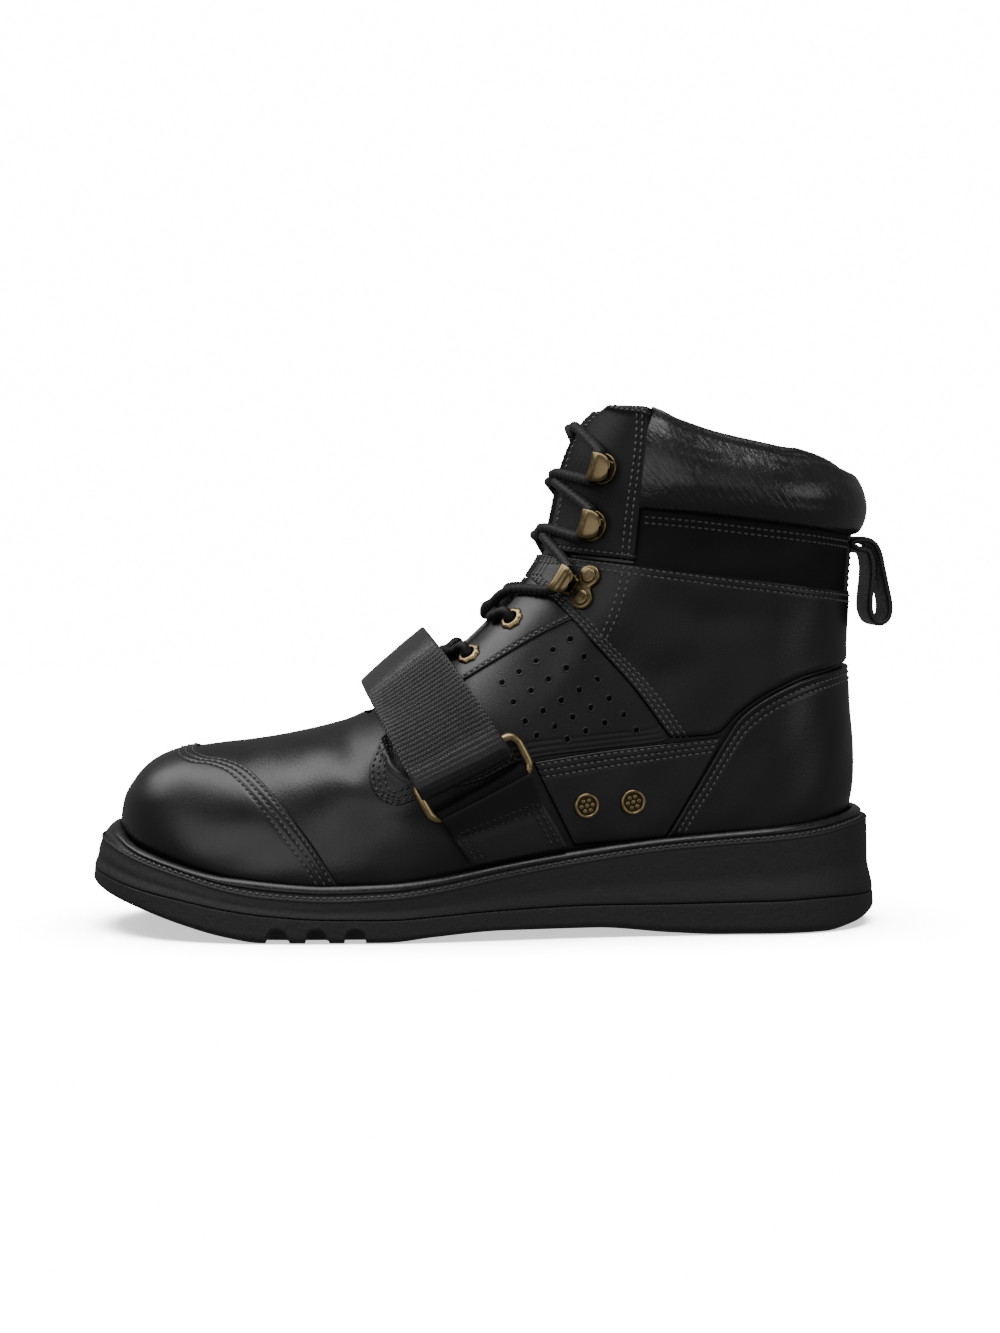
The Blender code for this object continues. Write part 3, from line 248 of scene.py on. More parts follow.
PAD_FOLDS = table(
    "x0 z0 x1 z1 width depth",
    (218.0, 200.0, 244.0, 190.0, 1.8, 0.7), (222.0, 193.0, 252.0, 184.0, 2.2, 0.8),
    (219.0, 183.0, 240.0, 178.0, 2.4, 0.7), (232.0, 197.0, 236.0, 186.0, 1.8, 0.6),
    (243.0, 196.0, 262.0, 186.0, 2.0, 0.7), (252.0, 194.0, 256.0, 180.0, 2.2, 0.6),
    (258.0, 188.0, 284.0, 178.0, 2.2, 0.7), (268.0, 190.0, 273.0, 178.0, 1.8, 0.6),
    (280.0, 186.0, 296.0, 176.0, 2.0, 0.7), (224.0, 175.0, 262.0, 172.0, 2.6, 0.6),
    (262.0, 172.0, 296.0, 168.0, 2.4, 0.6), (288.0, 180.0, 292.0, 170.0, 1.8, 0.6),
    (236.0, 186.0, 240.0, 176.0, 1.8, 0.5),
)


def smooth(knots, values, at):
    """Value of the smooth curve through the knots that never overshoots them (cubic pieces)."""
    at = np.clip(np.asarray(at, float), knots[0], knots[-1])
    step = np.diff(knots)
    slope = np.diff(values) / step
    tangent = np.zeros(len(knots))
    tangent[0], tangent[-1] = slope[0], slope[-1]
    before, after = slope[:-1], slope[1:]
    same_way = before * after > 0
    tangent[1:-1] = np.where(same_way, 2 * before * after / np.where(same_way, before + after, 1.0), 0.0)
    i = np.clip(np.searchsorted(knots, at, side="right") - 1, 0, len(step) - 1)
    t = (at - knots[i]) / step[i]
    return (
        values[i] * (1 + 2 * t) * (1 - t) ** 2
        + values[i + 1] * t**2 * (3 - 2 * t)
        + step[i] * (tangent[i] * t * (1 - t) ** 2 - tangent[i + 1] * t**2 * (1 - t))
    )


def look_up(rows, key, column, at):
    return smooth(rows[key], rows[column], at)


def stacked(*parts):
    """Coordinates side by side as points."""
    return np.stack(parts, axis=-1)


def around_once(count):
    """Angles of a ring of points."""
    return np.linspace(0.0, 2 * np.pi, count, endpoint=False)


def ease(t):
    t = np.clip(t, 0.0, 1.0)
    return t * t * (3 - 2 * t)


def unit(vectors):
    return vectors / np.maximum(np.linalg.norm(vectors, axis=-1, keepdims=True), 1e-12)


def front_x(z):
    return look_up(FRONT_LINE, "z", "x", z)


def ridge_z(x):
    return look_up(FRONT_LINE[1:], "x", "z", x)


def back_x(z):
    return look_up(BACK_LINE, "z", "x", z)


def seat(x):
    return look_up(SOLE_LINES, "x", "seat", x)


def midline(x):
    return TOE_SWING * (1 - ease(np.asarray(x, float) / TOE_SWING_ENDS))


def quarter_round(depth):
    """Rises from 0 at the silhouette to 1 at full depth, as a quarter of a superellipse."""
    return (1 - (1 - np.clip(depth, 0.0, 1.0)) ** ROUNDNESS) ** (1 / ROUNDNESS)


def half_width(x, z, inner):
    """Half width of the last: plan width turning into shaft width, rounded to nothing front and back."""
    foot = np.where(inner, look_up(PLAN, "x", "inner", x), look_up(PLAN, "x", "outer", x))
    shaft = np.where(inner, look_up(SHAFT, "z", "inner", z), look_up(SHAFT, "z", "outer", z))
    wide = foot + (shaft - foot) * ease((z - FOOT_TOP) / (SHAFT_FROM - FOOT_TOP))
    wide = wide - FEATHER_TUCK * (1 - np.clip((z - seat(x)) / FEATHER_RISE, 0.0, 1.0)) ** 2
    above = np.maximum(ridge_z(x) - z, 0.0)
    ahead = np.maximum(x - front_x(z), 0.0)
    depth = above * ahead / np.sqrt(above**2 + ahead**2 + 1e-9)
    front = quarter_round(depth / look_up(ROUNDING, "z", "front", z))
    return wide * front * quarter_round((back_x(z) - x) / look_up(ROUNDING, "z", "back", z))


# The front line by its length, and where the levels meet the back
FRONT_LOW = float(seat(front_x(34.0))) + GAP
RUN_Z = np.linspace(FRONT_LOW, TOP_LINE["z"][0], 3000)
RUN_X = front_x(RUN_Z)
RUN = np.concatenate([[0.0], np.cumsum(np.hypot(np.diff(RUN_X), np.diff(RUN_Z)))])
RUN = RUN / RUN[-1]
HEEL_Z = float(seat(301.0)) + GAP
BACK_TOP = TOP_LINE["z"][-1]


def side_view(t, share):
    """Side view point of a level at a share of the way from the front line to the back line.

    Levels are straight, bent at the bottom to follow the seat of the welt and at the top the collar.
    """
    t = np.clip(t, 0.0, 1.0)
    x0 = np.interp(t, RUN, RUN_X)
    z0 = np.interp(t, RUN, RUN_Z)
    z1 = HEEL_Z + (BACK_TOP - HEEL_Z) * t**BACK_SPACING
    low_x = RUN_X[0] + (back_x(HEEL_Z) - RUN_X[0]) * share
    low_bend = seat(low_x) + GAP - (RUN_Z[0] + (HEEL_Z - RUN_Z[0]) * share)
    top_x = RUN_X[-1] + (back_x(BACK_TOP) - RUN_X[-1]) * share
    top_bend = look_up(TOP_LINE, "x", "z", top_x) - (RUN_Z[-1] + (BACK_TOP - RUN_Z[-1]) * share)
    x = x0 + (back_x(z1) - x0) * share
    return x, z0 + (z1 - z0) * share + low_bend * (1 - t) ** 2.5 + top_bend * t**6


def last_point(t, s):
    """Point of the last; the share of the way back is (1 - cos(pi s)) / 2, so steps of s are even."""
    t, s = np.broadcast_arrays(np.asarray(t, float), np.asarray(s, float))
    s = (s + 1) % 2 - 1
    x, z = side_view(t, (1 - np.cos(np.pi * s)) / 2)
    y = midline(x) + np.sign(s) * half_width(x, z, s >= 0)
    return stacked(x, y, z)


def last_normal(t, s):
    """Outward normal of the last: the cross product of its two slopes."""
    dt, ds = 0.002, 0.014
    around = last_point(t, s + ds) - last_point(t, s - ds)
    up = last_point(np.minimum(t + dt, 1.0), s) - last_point(np.maximum(t - dt, 0.0), s)
    return unit(np.cross(up, around))


def on_last(where):
    """Points and normals of the last at (t, s)."""
    return last_point(where[..., 0], where[..., 1]), last_normal(where[..., 0], where[..., 1])


def place(x, z, side):
    """The (t, s) of side view points: the level is found by halving, then the share gives s."""
    x, z = np.broadcast_arrays(np.asarray(x, float), np.asarray(z, float))
    low, high = np.zeros(x.shape), np.ones(x.shape)

    def share(t):
        x0 = np.interp(t, RUN, RUN_X)
        x1 = back_x(HEEL_Z + (BACK_TOP - HEEL_Z) * t**BACK_SPACING)
        return np.clip((x - x0) / (x1 - x0), 0.0, 1.0)

    for _ in range(36):
        t = (low + high) / 2
        below = side_view(t, share(t))[1] < z
        low, high = np.where(below, t, low), np.where(below, high, t)
    t = (low + high) / 2
    return stacked(t, side * np.arccos(1 - 2 * share(t)) / np.pi)


def troughs(points, rows):
    """Height change from soft troughs: each is a bell across its line, fading towards both ends."""
    change = np.zeros(points.shape[:-1])
    x, z = points[..., 0], points[..., 2]
    for row in rows:
        dx, dz = row["x1"] - row["x0"], row["z1"] - row["z0"]
        length = math.hypot(dx, dz)
        along = ((x - row["x0"]) * dx + (z - row["z0"]) * dz) / length
        across = ((x - row["x0"]) * dz - (z - row["z0"]) * dx) / length
        across = across - row["width"] * 0.5 * np.sin(along / length * 4.0)
        fade = ease(along / length * 2.5 + 0.3) * ease((1 - along / length) * 2.5 + 0.3)
        change -= row["depth"] * fade * np.exp(-((across / row["width"]) ** 2))
    return change


def unevenness(points):
    """Slow waves of hand-pulled leather, a sum of a few sines of the place."""
    x, y, z = points[..., 0], points[..., 1], points[..., 2]
    waves = np.sin(x * 0.11 + z * 0.07 + y * 0.05) + np.sin(z * 0.16 - x * 0.05 + y * 0.09 + 1.0)
    return 0.12 * (waves + np.sin(x * 0.23 + y * 0.13 - z * 0.19 + 2.0))


def skin(t, s):
    """Points of the creased last, and normals."""
    points, normals = last_point(t, s), last_normal(t, s)
    relief = troughs(points, CREASES) + unevenness(points)
    calm = ease((points[..., 2] - seat(points[..., 0])) / 12.0)
    return points + normals * (relief * calm)[..., None], normals


def through(knots, steps):
    """Smooth run (Catmull-Rom) through points, or through rows of points, with steps between each two."""
    knots = np.asarray(knots, float)
    ends = np.concatenate([2 * knots[:1] - knots[1:2], knots, 2 * knots[-1:] - knots[-2:-1]])
    t = np.linspace(0.0, 1.0, steps, endpoint=False).reshape((1, steps) + (1,) * (knots.ndim - 1))
    a, b, c, d = (ends[k : len(knots) - 1 + k][:, None] for k in range(4))
    run = 2 * b + (c - a) * t + (2 * a - 5 * b + 4 * c - d) * t**2 + (3 * b - a - 3 * c + d) * t**3
    return np.concatenate([0.5 * run.reshape((-1,) + knots.shape[1:]), knots[-1:]])


def lengths(line):
    """Running length along a line of points."""
    return np.concatenate([[0.0], np.cumsum(np.linalg.norm(np.diff(line, axis=0), axis=-1))])


def points_at(at, run, line):
    """Points of a line where a value that runs along it has the values asked for."""
    return stacked(*[np.interp(at, run, each) for each in line.T])


def spread(line, where):
    """Points of a line at fractions of its length."""
    run = lengths(line)
    return points_at(where * run[-1], run, line)


def shifted(rows, dx, dz):
    return table("x z", *[(row["x"] + dx, row["z"] + dz) for row in rows])


def edge(rows, side, where):
    """An outline in side view as (t, s), at fractions of its length."""
    line = through(stacked(rows["x"], rows["z"]), 16)
    line = spread(line, where)
    return place(line[:, 0], line[:, 1], side)


def s_at_width(level, s, width):
    """The s at each level where the half width of the last equals the given one."""
    points = last_point(level[:, None], s[None])
    wide = points[..., 1] - midline(points[..., 0])
    return np.array([np.interp(g, w, s) for g, w in zip(np.broadcast_to(width, level.shape), wide)])


# Edges of the lacing opening and of the back strip, as s at each level
THROAT_LEVEL, STRIP_LEVEL = np.linspace(0.0, 1.0, 400), np.linspace(0.0, 1.0, 120)
THROAT_GAP = look_up(THROAT, "z", "half_gap", np.interp(THROAT_LEVEL, RUN, RUN_Z))
THROAT_S = s_at_width(THROAT_LEVEL, np.linspace(0.0, 0.5, 400), THROAT_GAP)
STRIP_S = s_at_width(STRIP_LEVEL, np.linspace(1.0, 0.7, 300), BACK_STRIP_HALF + BACK_STRIP_GAP)


def throat_s(t):
    return np.interp(t, THROAT_LEVEL, THROAT_S)


def strip_s(t):
    return np.interp(t, STRIP_LEVEL, STRIP_S)


def cut_where(line, clear):
    """The part of a line up to the place where its clearance falls to nothing."""
    k = int(np.argmax(clear < 0))
    f = clear[k - 1] / (clear[k - 1] - clear[k])
    return np.concatenate([line[:k], (line[k - 1] + (line[k] - line[k - 1]) * f)[None]])


def cut_at_throat(line):
    """The part of a (t, s) line that lies behind the lacing opening, ending on its edge."""
    return cut_where(line, np.abs(line[:, 1]) - throat_s(line[:, 0]))


def cut_at_strip(line):
    """The part of a (t, s) line in front of the back strip, ending on its edge."""
    return cut_where(line, strip_s(line[:, 0]) - np.abs(line[:, 1]))


DENSE = np.linspace(0.0, 1.0, 400)


def steps(length, fine=0.45, coarse=2.2, first=9.0, last=9.0):
    """Fractions of a length, close together over a stretch at each end."""
    d = np.linspace(0.0, length, 4000)
    size = fine + (coarse - fine) * ease((np.minimum(d - first, length - last - d)) / 8.0)
    count = np.concatenate([[0.0], np.cumsum(np.diff(d) / size[1:])])
    even = np.linspace(0.0, count[-1], int(math.ceil(count[-1])) + 1)
    return np.interp(even, count, d) / length


class Panel:
    """A patch of the last between four edges in (t, s), with the distance of each point from every edge.

    The patch is a Coons patch: the two ways of ruling it added, less the mix of its four corners.
    """

    def __init__(self, bottom, top, left, right, u, v):
        uu, vv = u[None, :, None], v[:, None, None]
        ruled = (1 - vv) * bottom[None] + vv * top[None] + (1 - uu) * left[:, None] + uu * right[:, None]
        ends = (1 - uu) * (1 - vv) * bottom[0] + uu * (1 - vv) * bottom[-1]
        grid = ruled - ends - (1 - uu) * vv * top[0] - uu * vv * top[-1]
        self.base, self.normal = skin(grid[..., 0], grid[..., 1])
        up = np.linalg.norm(np.diff(self.base, axis=0), axis=-1)
        along = np.linalg.norm(np.diff(self.base, axis=1), axis=-1)
        self.far = {"bottom": np.pad(np.cumsum(up, axis=0), ((1, 0), (0, 0)))}
        self.far["top"] = self.far["bottom"][-1:] - self.far["bottom"]
        self.far["left"] = np.pad(np.cumsum(along, axis=1), ((0, 0), (1, 0)))
        self.far["right"] = self.far["left"][:, -1:] - self.far["left"]
        self.off = np.zeros(self.base.shape[:2])
        self.rows = []

    def shape(self, height, free, radius=0.8, soft=(), soft_radius=6.0):
        """Sets the height, rounded down to the upper at the free edges and slowly at the soft ones."""
        self.off = np.full(self.base.shape[:2], height + 0.2)
        for name in (*free, *soft):
            q = np.clip(self.far[name] / (radius if name in free else soft_radius), 0.0, 1.0)
            self.off *= np.sqrt(1 - (1 - q) ** 2)
        self.off -= 0.2
        return self

    def sew(self, name, *distances, start=0.0, end=0.0):
        """Sinks a groove for each row of stitches at its distance from an edge."""
        for distance in distances:
            self.off -= 0.2 * np.exp(-(((self.far[name] - distance) / 0.55) ** 2))
            self.rows.append((name, distance, start, end))
        return self

    def points(self):
        return self.base + self.normal * self.off[..., None]

    def row_line(self, name, distance):
        """Line at a distance from one edge, found between neighbouring rows of the grid."""
        points, normals, far = self.points(), self.normal, self.far[name]
        if name in ("left", "right"):
            points, normals, far = points.swapaxes(0, 1), normals.swapaxes(0, 1), far.T
        if name in ("top", "right"):
            points, normals, far = points[::-1], normals[::-1], far[::-1]
        past = far >= distance
        k = np.argmax(past, axis=0)
        good = np.flatnonzero(past.any(axis=0) & (k > 0))
        k = k[good]
        d0, d1 = far[k - 1, good], far[k, good]
        f = ((distance - d0) / np.maximum(d1 - d0, 1e-9))[:, None]
        line = points[k - 1, good] * (1 - f) + points[k, good] * f
        return line, unit(normals[k - 1, good] * (1 - f) + normals[k, good] * f)

    def stitches(self):
        """Points and quads of all the stitches of this panel."""
        made = []
        for name, distance, start, end in self.rows:
            line, normals = self.row_line(name, distance)
            made.append(stitch_run(line, normals, start, end))
        return made


def stitch_run(line, normals, start=0.0, end=0.0):
    """Row of stitches: capsules laid end to end along a line, each bowed out of the leather."""
    sizes = bpy.context.scene.boot_sizes
    pitch, length, radius = sizes.stitch_pitch / MM, sizes.stitch_length / MM, sizes.stitch_radius / MM
    run = lengths(line)
    count = int((run[-1] - start - end) / pitch)
    if count < 1:
        return np.zeros((0, 3)), np.zeros((0, 4), int)
    middle = start + (np.arange(count) + 0.5) * (run[-1] - start - end) / count
    a = np.array((-1.0, -0.72, 0.0, 0.72, 1.0))
    slim = np.array((0.3, 0.85, 1.0, 0.85, 0.3))
    at = middle[:, None] + a * length / 2
    centre = points_at(at, run, line)
    out = unit(points_at(at, run, normals))
    along = unit(np.gradient(centre, axis=1))
    across = unit(np.cross(along, out))
    centre = centre + out * (radius * (0.55 - 0.8 * a**2))[None, :, None]
    turn = around_once(6)
    ring = np.cos(turn)[:, None] * across[:, :, None] + np.sin(turn)[:, None] * out[:, :, None]
    points = centre[:, :, None] + ring * (radius * slim)[None, :, None, None]
    stitch = grid_quads(5, 6, wrap=True)
    caps = np.array(((0, 1, 2, 3), (0, 3, 4, 5), (27, 26, 25, 24), (29, 28, 27, 24)))
    stitch = np.concatenate([stitch, caps])
    quads = stitch[None] + (np.arange(count) * 30)[:, None, None]
    return points.reshape(-1, 3), quads.reshape(-1, 4)


def grid_quads(rows, columns, wrap=False, flip=False):
    """Quads of a grid of points, rows by columns, closed round its columns where it wraps."""
    index = np.arange(rows * columns).reshape(rows, columns)
    after = np.roll(index, -1, axis=1) if wrap else index[:, 1:]
    index = index if wrap else index[:, :-1]
    quads = stacked(index[:-1], index[1:], after[1:], after[:-1]).reshape(-1, 4)
    return quads[:, ::-1] if flip else quads


def banded(rows, flip=False):
    """Surface through a stack of like rings."""
    return np.stack(rows).reshape(-1, 3), grid_quads(len(rows), len(rows[0]), wrap=True, flip=flip)


def shell(outer, inner, cells=None, wrap=False):
    """Points and quads of the closed wall between two like grids, and the count of quads on each face.

    Cells marked false are left out, and a rim closes every free edge.
    """
    rows, columns = outer.shape[:2]
    wide = columns if wrap else columns - 1
    if cells is None:
        cells = np.ones((rows - 1, wide), bool)
    index = np.arange(rows * columns).reshape(rows, columns)
    a = index[:-1, :wide]
    d = index[1:, :wide]
    b = np.roll(index, -1, axis=1)[:-1, :wide]
    c = np.roll(index, -1, axis=1)[1:, :wide]
    under = rows * columns
    none = np.zeros_like(cells[:1])
    side = np.zeros_like(cells[:, :1])
    before = np.roll(cells, 1, axis=1) if wrap else np.concatenate([side, cells[:, :-1]], axis=1)
    behind = np.roll(cells, -1, axis=1) if wrap else np.concatenate([cells[:, 1:], side], axis=1)
    below = np.concatenate([none, cells[:-1]])
    above = np.concatenate([cells[1:], none])
    rims = []
    for free, p, q in ((~below, a, b), (~above, c, d), (~before, d, a), (~behind, b, c)):
        p, q = p[cells & free], q[cells & free]
        rims.append(stacked(p, q, q + under, p + under))
    front = stacked(a, d, c, b)[cells]
    back = stacked(a, b, c, d)[cells] + under
    points = np.concatenate([outer.reshape(-1, 3), inner.reshape(-1, 3)])
    return points, np.concatenate([front, back, *rims]), len(front)


def joined(parts):
    """Several meshes, each points and quads, as one."""
    points, quads, start = [], [], 0
    for p, q in parts:
        points.append(p)
        quads.append(q + start)
        start += len(p)
    return np.concatenate(points), np.concatenate(quads)


def tube(path, radius, sides, closed=False, relief=None):
    """Round bar carried along a path; relief gives a share of the radius from (length, angle)."""
    ahead = np.roll(path, -1, axis=0) - np.roll(path, 1, axis=0)
    if not closed:
        ahead[0], ahead[-1] = path[1] - path[0], path[-1] - path[-2]
    ahead = unit(ahead)
    first = unit(np.cross(ahead, (0.3, 0.2, 1.0)))
    second = np.cross(ahead, first)
    turn = around_once(sides)
    size = np.full((len(path), sides), radius)
    if relief is not None:
        size = size * (1 + relief(lengths(path)[:, None], turn[None]))
    if not closed:
        run = lengths(path)
        from_end = np.minimum(run, run[-1] - run) / radius
        size = size * np.sqrt(1 - (1 - np.clip(from_end, 0.0, 1.0)) ** 2)[:, None]
    ring = np.cos(turn)[None, :, None] * first[:, None] + np.sin(turn)[None, :, None] * second[:, None]
    points = path[:, None] + ring * size[..., None]
    rows = len(path)
    if closed:
        points = np.concatenate([points, points[:1]])
        rows += 1
    return points.reshape(-1, 3), grid_quads(rows, sides, wrap=True, flip=True)


def turned(centre, normal, back, up, profile, sides, wobble=0.0, teeth=8):
    """Round piece turned about a normal; the profile gives (radius, height), the wobble its teeth."""
    turn = around_once(sides)
    radius, height = np.asarray(profile, float).T
    size = radius[:, None] * (1 + wobble * np.cos(teeth * turn)[None] * ease((radius - 3.0) / 1.5)[:, None])
    ring = np.cos(turn)[:, None] * back + np.sin(turn)[:, None] * up
    points = centre + size[..., None] * ring[None] + height[:, None, None] * normal
    return points.reshape(-1, 3), grid_quads(len(radius), sides, wrap=True)


# Where the boot's own millimetres lie in the row frame
LOOP_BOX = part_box("pull_loop")
ORIGIN = np.array((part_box("outsole")[0].x - SOLE_TIP * MM, (LOOP_BOX[0].y + LOOP_BOX[1].y) / 2, 0.0))


def to_row(points):
    return np.asarray(points, float) * MM + ORIGIN


def add_piece(
    name, points, quads, finishes, stands_for=(), slot=None, face_finish=None, weave=None, weld=True,
    sharp=50.0,
):
    """Mesh object in the row frame from points in millimetres and quads; rides on the boot."""
    mesh = bpy.data.meshes.new(name)
    points = to_row(points)
    mesh.vertices.add(len(points))
    mesh.vertices.foreach_set("co", points.astype(np.float32).ravel())
    mesh.loops.add(quads.size)
    mesh.loops.foreach_set("vertex_index", quads.astype(np.int32).ravel())
    mesh.polygons.add(len(quads))
    mesh.polygons.foreach_set("loop_start", np.arange(0, quads.size, 4, dtype=np.int32))
    if face_finish is not None:
        mesh.polygons.foreach_set("material_index", np.asarray(face_finish, np.int32))
    mesh.update(calc_edges=True)
    if weave is not None:
        layer = mesh.uv_layers.new(name="weave")
        layer.data.foreach_set("uv", weave[quads.ravel()].astype(np.float32).ravel())
    if weld:
        work = bmesh.new()
        work.from_mesh(mesh)
        bmesh.ops.remove_doubles(work, verts=work.verts, dist=2e-6)
        work.to_mesh(mesh)
        work.free()
    mesh.shade_smooth()
    mesh.set_sharp_from_angle(angle=math.radians(sharp))
    piece = bpy.data.objects.new(name, mesh)
    bpy.context.scene.collection.objects.link(piece)
    for finish in finishes:
        mesh.materials.append(finish)
    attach(piece, "root")
    if stands_for:
        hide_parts(*stands_for)
    return piece


def add_stitches(name, rows, slot, tone=1.0):
    """One piece of rows of stitches in waxed thread."""
    return add_piece(name, *joined(rows), [thread(tone)], (), slot, weld=False)


def add_leather(part, panel, finish, slot="upper_leather", tone=1.0, solid=True):
    """A leather piece: closed shell from the panel's face down into the upper, and its stitches."""
    inner = panel.base - panel.normal * 0.6
    outer = panel.points()
    du, dv = np.gradient(panel.base, axis=1), np.gradient(panel.base, axis=0)
    if np.sum(np.cross(dv, du) * panel.normal) < 0:
        outer, inner = outer[:, ::-1], inner[:, ::-1]
    points, quads, _ = shell(outer, inner)
    add_piece(f"{part}_leather", points, quads, [finish], [part] if solid else (), slot)
    add_stitches(f"{part}_leather_stitching", panel.stitches(), slot, tone)


def knot(tree, kind, settings=None, **inputs):
    """Adds a shader node; each input is a value or another node's output."""
    node = tree.nodes.new(kind)
    for key, value in (settings or {}).items():
        setattr(node, key, value)
    for key, value in inputs.items():
        socket = node.inputs[key.replace("_", " ")]
        if isinstance(value, bpy.types.NodeSocket):
            tree.links.new(value, socket)
        else:
            socket.default_value = value
    return node


def blank(name, colour, roughness, **sockets):
    """Material with one Principled shader, its plain values on its own sockets."""
    made = bpy.data.materials.new(name)
    made.use_nodes = True
    shader = made.node_tree.nodes["Principled BSDF"]
    shader.inputs["Base Color"].default_value = (*colour, 1.0)
    shader.inputs["Roughness"].default_value = roughness
    for key, value in sockets.items():
        shader.inputs[key.replace("_", " ")].default_value = value
    return made, made.node_tree, shader


def hue(name, tone=1.0):
    """One of the boot's colours, darker where the tone is below 1."""
    return tuple(part * tone for part in getattr(bpy.context.scene.boot_colours, name))


def by_place(tree):
    return knot(tree, "ShaderNodeTexCoord").outputs["Object"]


def tinted(tree, shader, colour, roughness, fac, tone=0.3, dull=0.07):
    """Lets the colour and the roughness drift with a value: a slow noise in most finishes, but in the webbing
    the height of its weave, which paints shade into its gaps and highlight on its ribs.
    """
    dark = tuple(c * (1 - tone) for c in colour) + (1.0,)
    light = tuple(c * (1 + tone) for c in colour) + (1.0,)
    mixed = knot(tree, "ShaderNodeMixRGB", Fac=fac, Color1=dark, Color2=light)
    tree.links.new(mixed.outputs["Color"], shader.inputs["Base Color"])
    spread_of = knot(
        tree, "ShaderNodeMapRange", Value=fac, From_Min=0.3, From_Max=0.7, To_Min=roughness - dull,
        To_Max=roughness + dull,
    )
    tree.links.new(spread_of.outputs["Result"], shader.inputs["Roughness"])


def noise(tree, where, scale, detail=3.0, **more):
    return knot(tree, "ShaderNodeTexNoise", Vector=where, Scale=scale, Detail=detail, **more).outputs["Fac"]


def bumped(tree, shader, *layers):
    """Bump layers of (strength, distance, height), each over the one before."""
    under = {}
    for strength, distance, height in layers:
        bump = knot(tree, "ShaderNodeBump", Strength=strength, Distance=distance, Height=height, **under)
        under = {"Normal": bump.outputs["Normal"]}
    tree.links.new(bump.outputs["Normal"], shader.inputs["Normal"])


def once(make):
    """Makes a finish the first time that its name is asked for, and finds it after that."""

    @functools.wraps(make)
    def finish(name, *settings, **more):
        return bpy.data.materials.get(name) or make(name, *settings, **more)

    return finish


@once
def plain(name, colour, roughness, **sockets):
    """Finish of one even colour."""
    return blank(name, colour, roughness, **sockets)[0]


@once
def leather(name, roughness=0.42, grain=1500.0, pebble=0.10, coat=0.12, shine=0.5):
    """Black leather: cells and fine noise for the grain, slow noise for the drift of its polish."""
    colour = hue("leather")
    made, tree, shader = blank(
        name, colour, roughness, Coat_Weight=coat, Coat_Roughness=0.28, Specular_IOR_Level=shine
    )
    where = by_place(tree)
    cells = knot(tree, "ShaderNodeTexVoronoi", Vector=where, Scale=grain).outputs["Distance"]
    fine = noise(tree, where, grain * 0.55, 5.0)
    tinted(tree, shader, colour, roughness, noise(tree, where, 36.0))
    bumped(tree, shader, (pebble, 0.0003, cells), (pebble * 1.4, 0.0003, fine))
    return made


@once
def tumbled_leather(name, roughness=0.31):
    """Soft collar leather: a net of fine cells under short wrinkles that run down and back."""
    colour = hue("leather")
    made, tree, shader = blank(name, colour, roughness, Coat_Weight=0.35, Coat_Roughness=0.26)
    where = by_place(tree)
    drawn = knot(
        tree, "ShaderNodeMapping", {"vector_type": "TEXTURE"}, Vector=where, Rotation=(0.0, 0.95, 0.0),
        Scale=(0.0085, 0.004, 0.0014),
    ).outputs["Vector"]
    streaks = noise(tree, drawn, 1.0, Distortion=0.8)
    cells = knot(tree, "ShaderNodeTexVoronoi", Vector=where, Scale=900.0).outputs["Distance"]
    tinted(tree, shader, colour, roughness, noise(tree, where, 60.0))
    bumped(tree, shader, (0.14, 0.0004, cells), (0.5, 0.0011, streaks))
    return made


@once
def rubber(name, roughness, speck, rough=0.45):
    """Moulded black rubber: matt grain of two sizes, paler on its high spots."""
    colour = hue("rubber")
    made, tree, shader = blank(name, colour, roughness)
    where = by_place(tree)
    coarse = noise(tree, where, speck * 0.3, 6.0, Roughness=0.7)
    tinted(tree, shader, colour, roughness, coarse, 0.6, 0.1)
    bumped(tree, shader, (rough, 0.0008, coarse), (rough * 0.6, 0.0004, noise(tree, where, speck, 4.0)))
    return made


@once
def brass(name, tone=1.0, roughness=0.33):
    """Antique brass: dull gold, browner where the patina sits, with faint brush marks."""
    colour = hue("brass", tone)
    made, tree, shader = blank(name, colour, roughness, Metallic=1.0)
    where = by_place(tree)
    tinted(tree, shader, colour, roughness, noise(tree, where, 420.0, 4.0), 0.35, 0.08)
    bumped(tree, shader, (0.08, 0.0002, noise(tree, where, 2600.0)))
    return made


def patina_and_painted_shade():
    """Dark brown brass where polish never reaches: patina in the sunk middle of each vent, darkened further
    as painted shade of the recess.
    """
    return plain("brass_tarnish", (0.05, 0.038, 0.018), 0.5, Metallic=0.8)


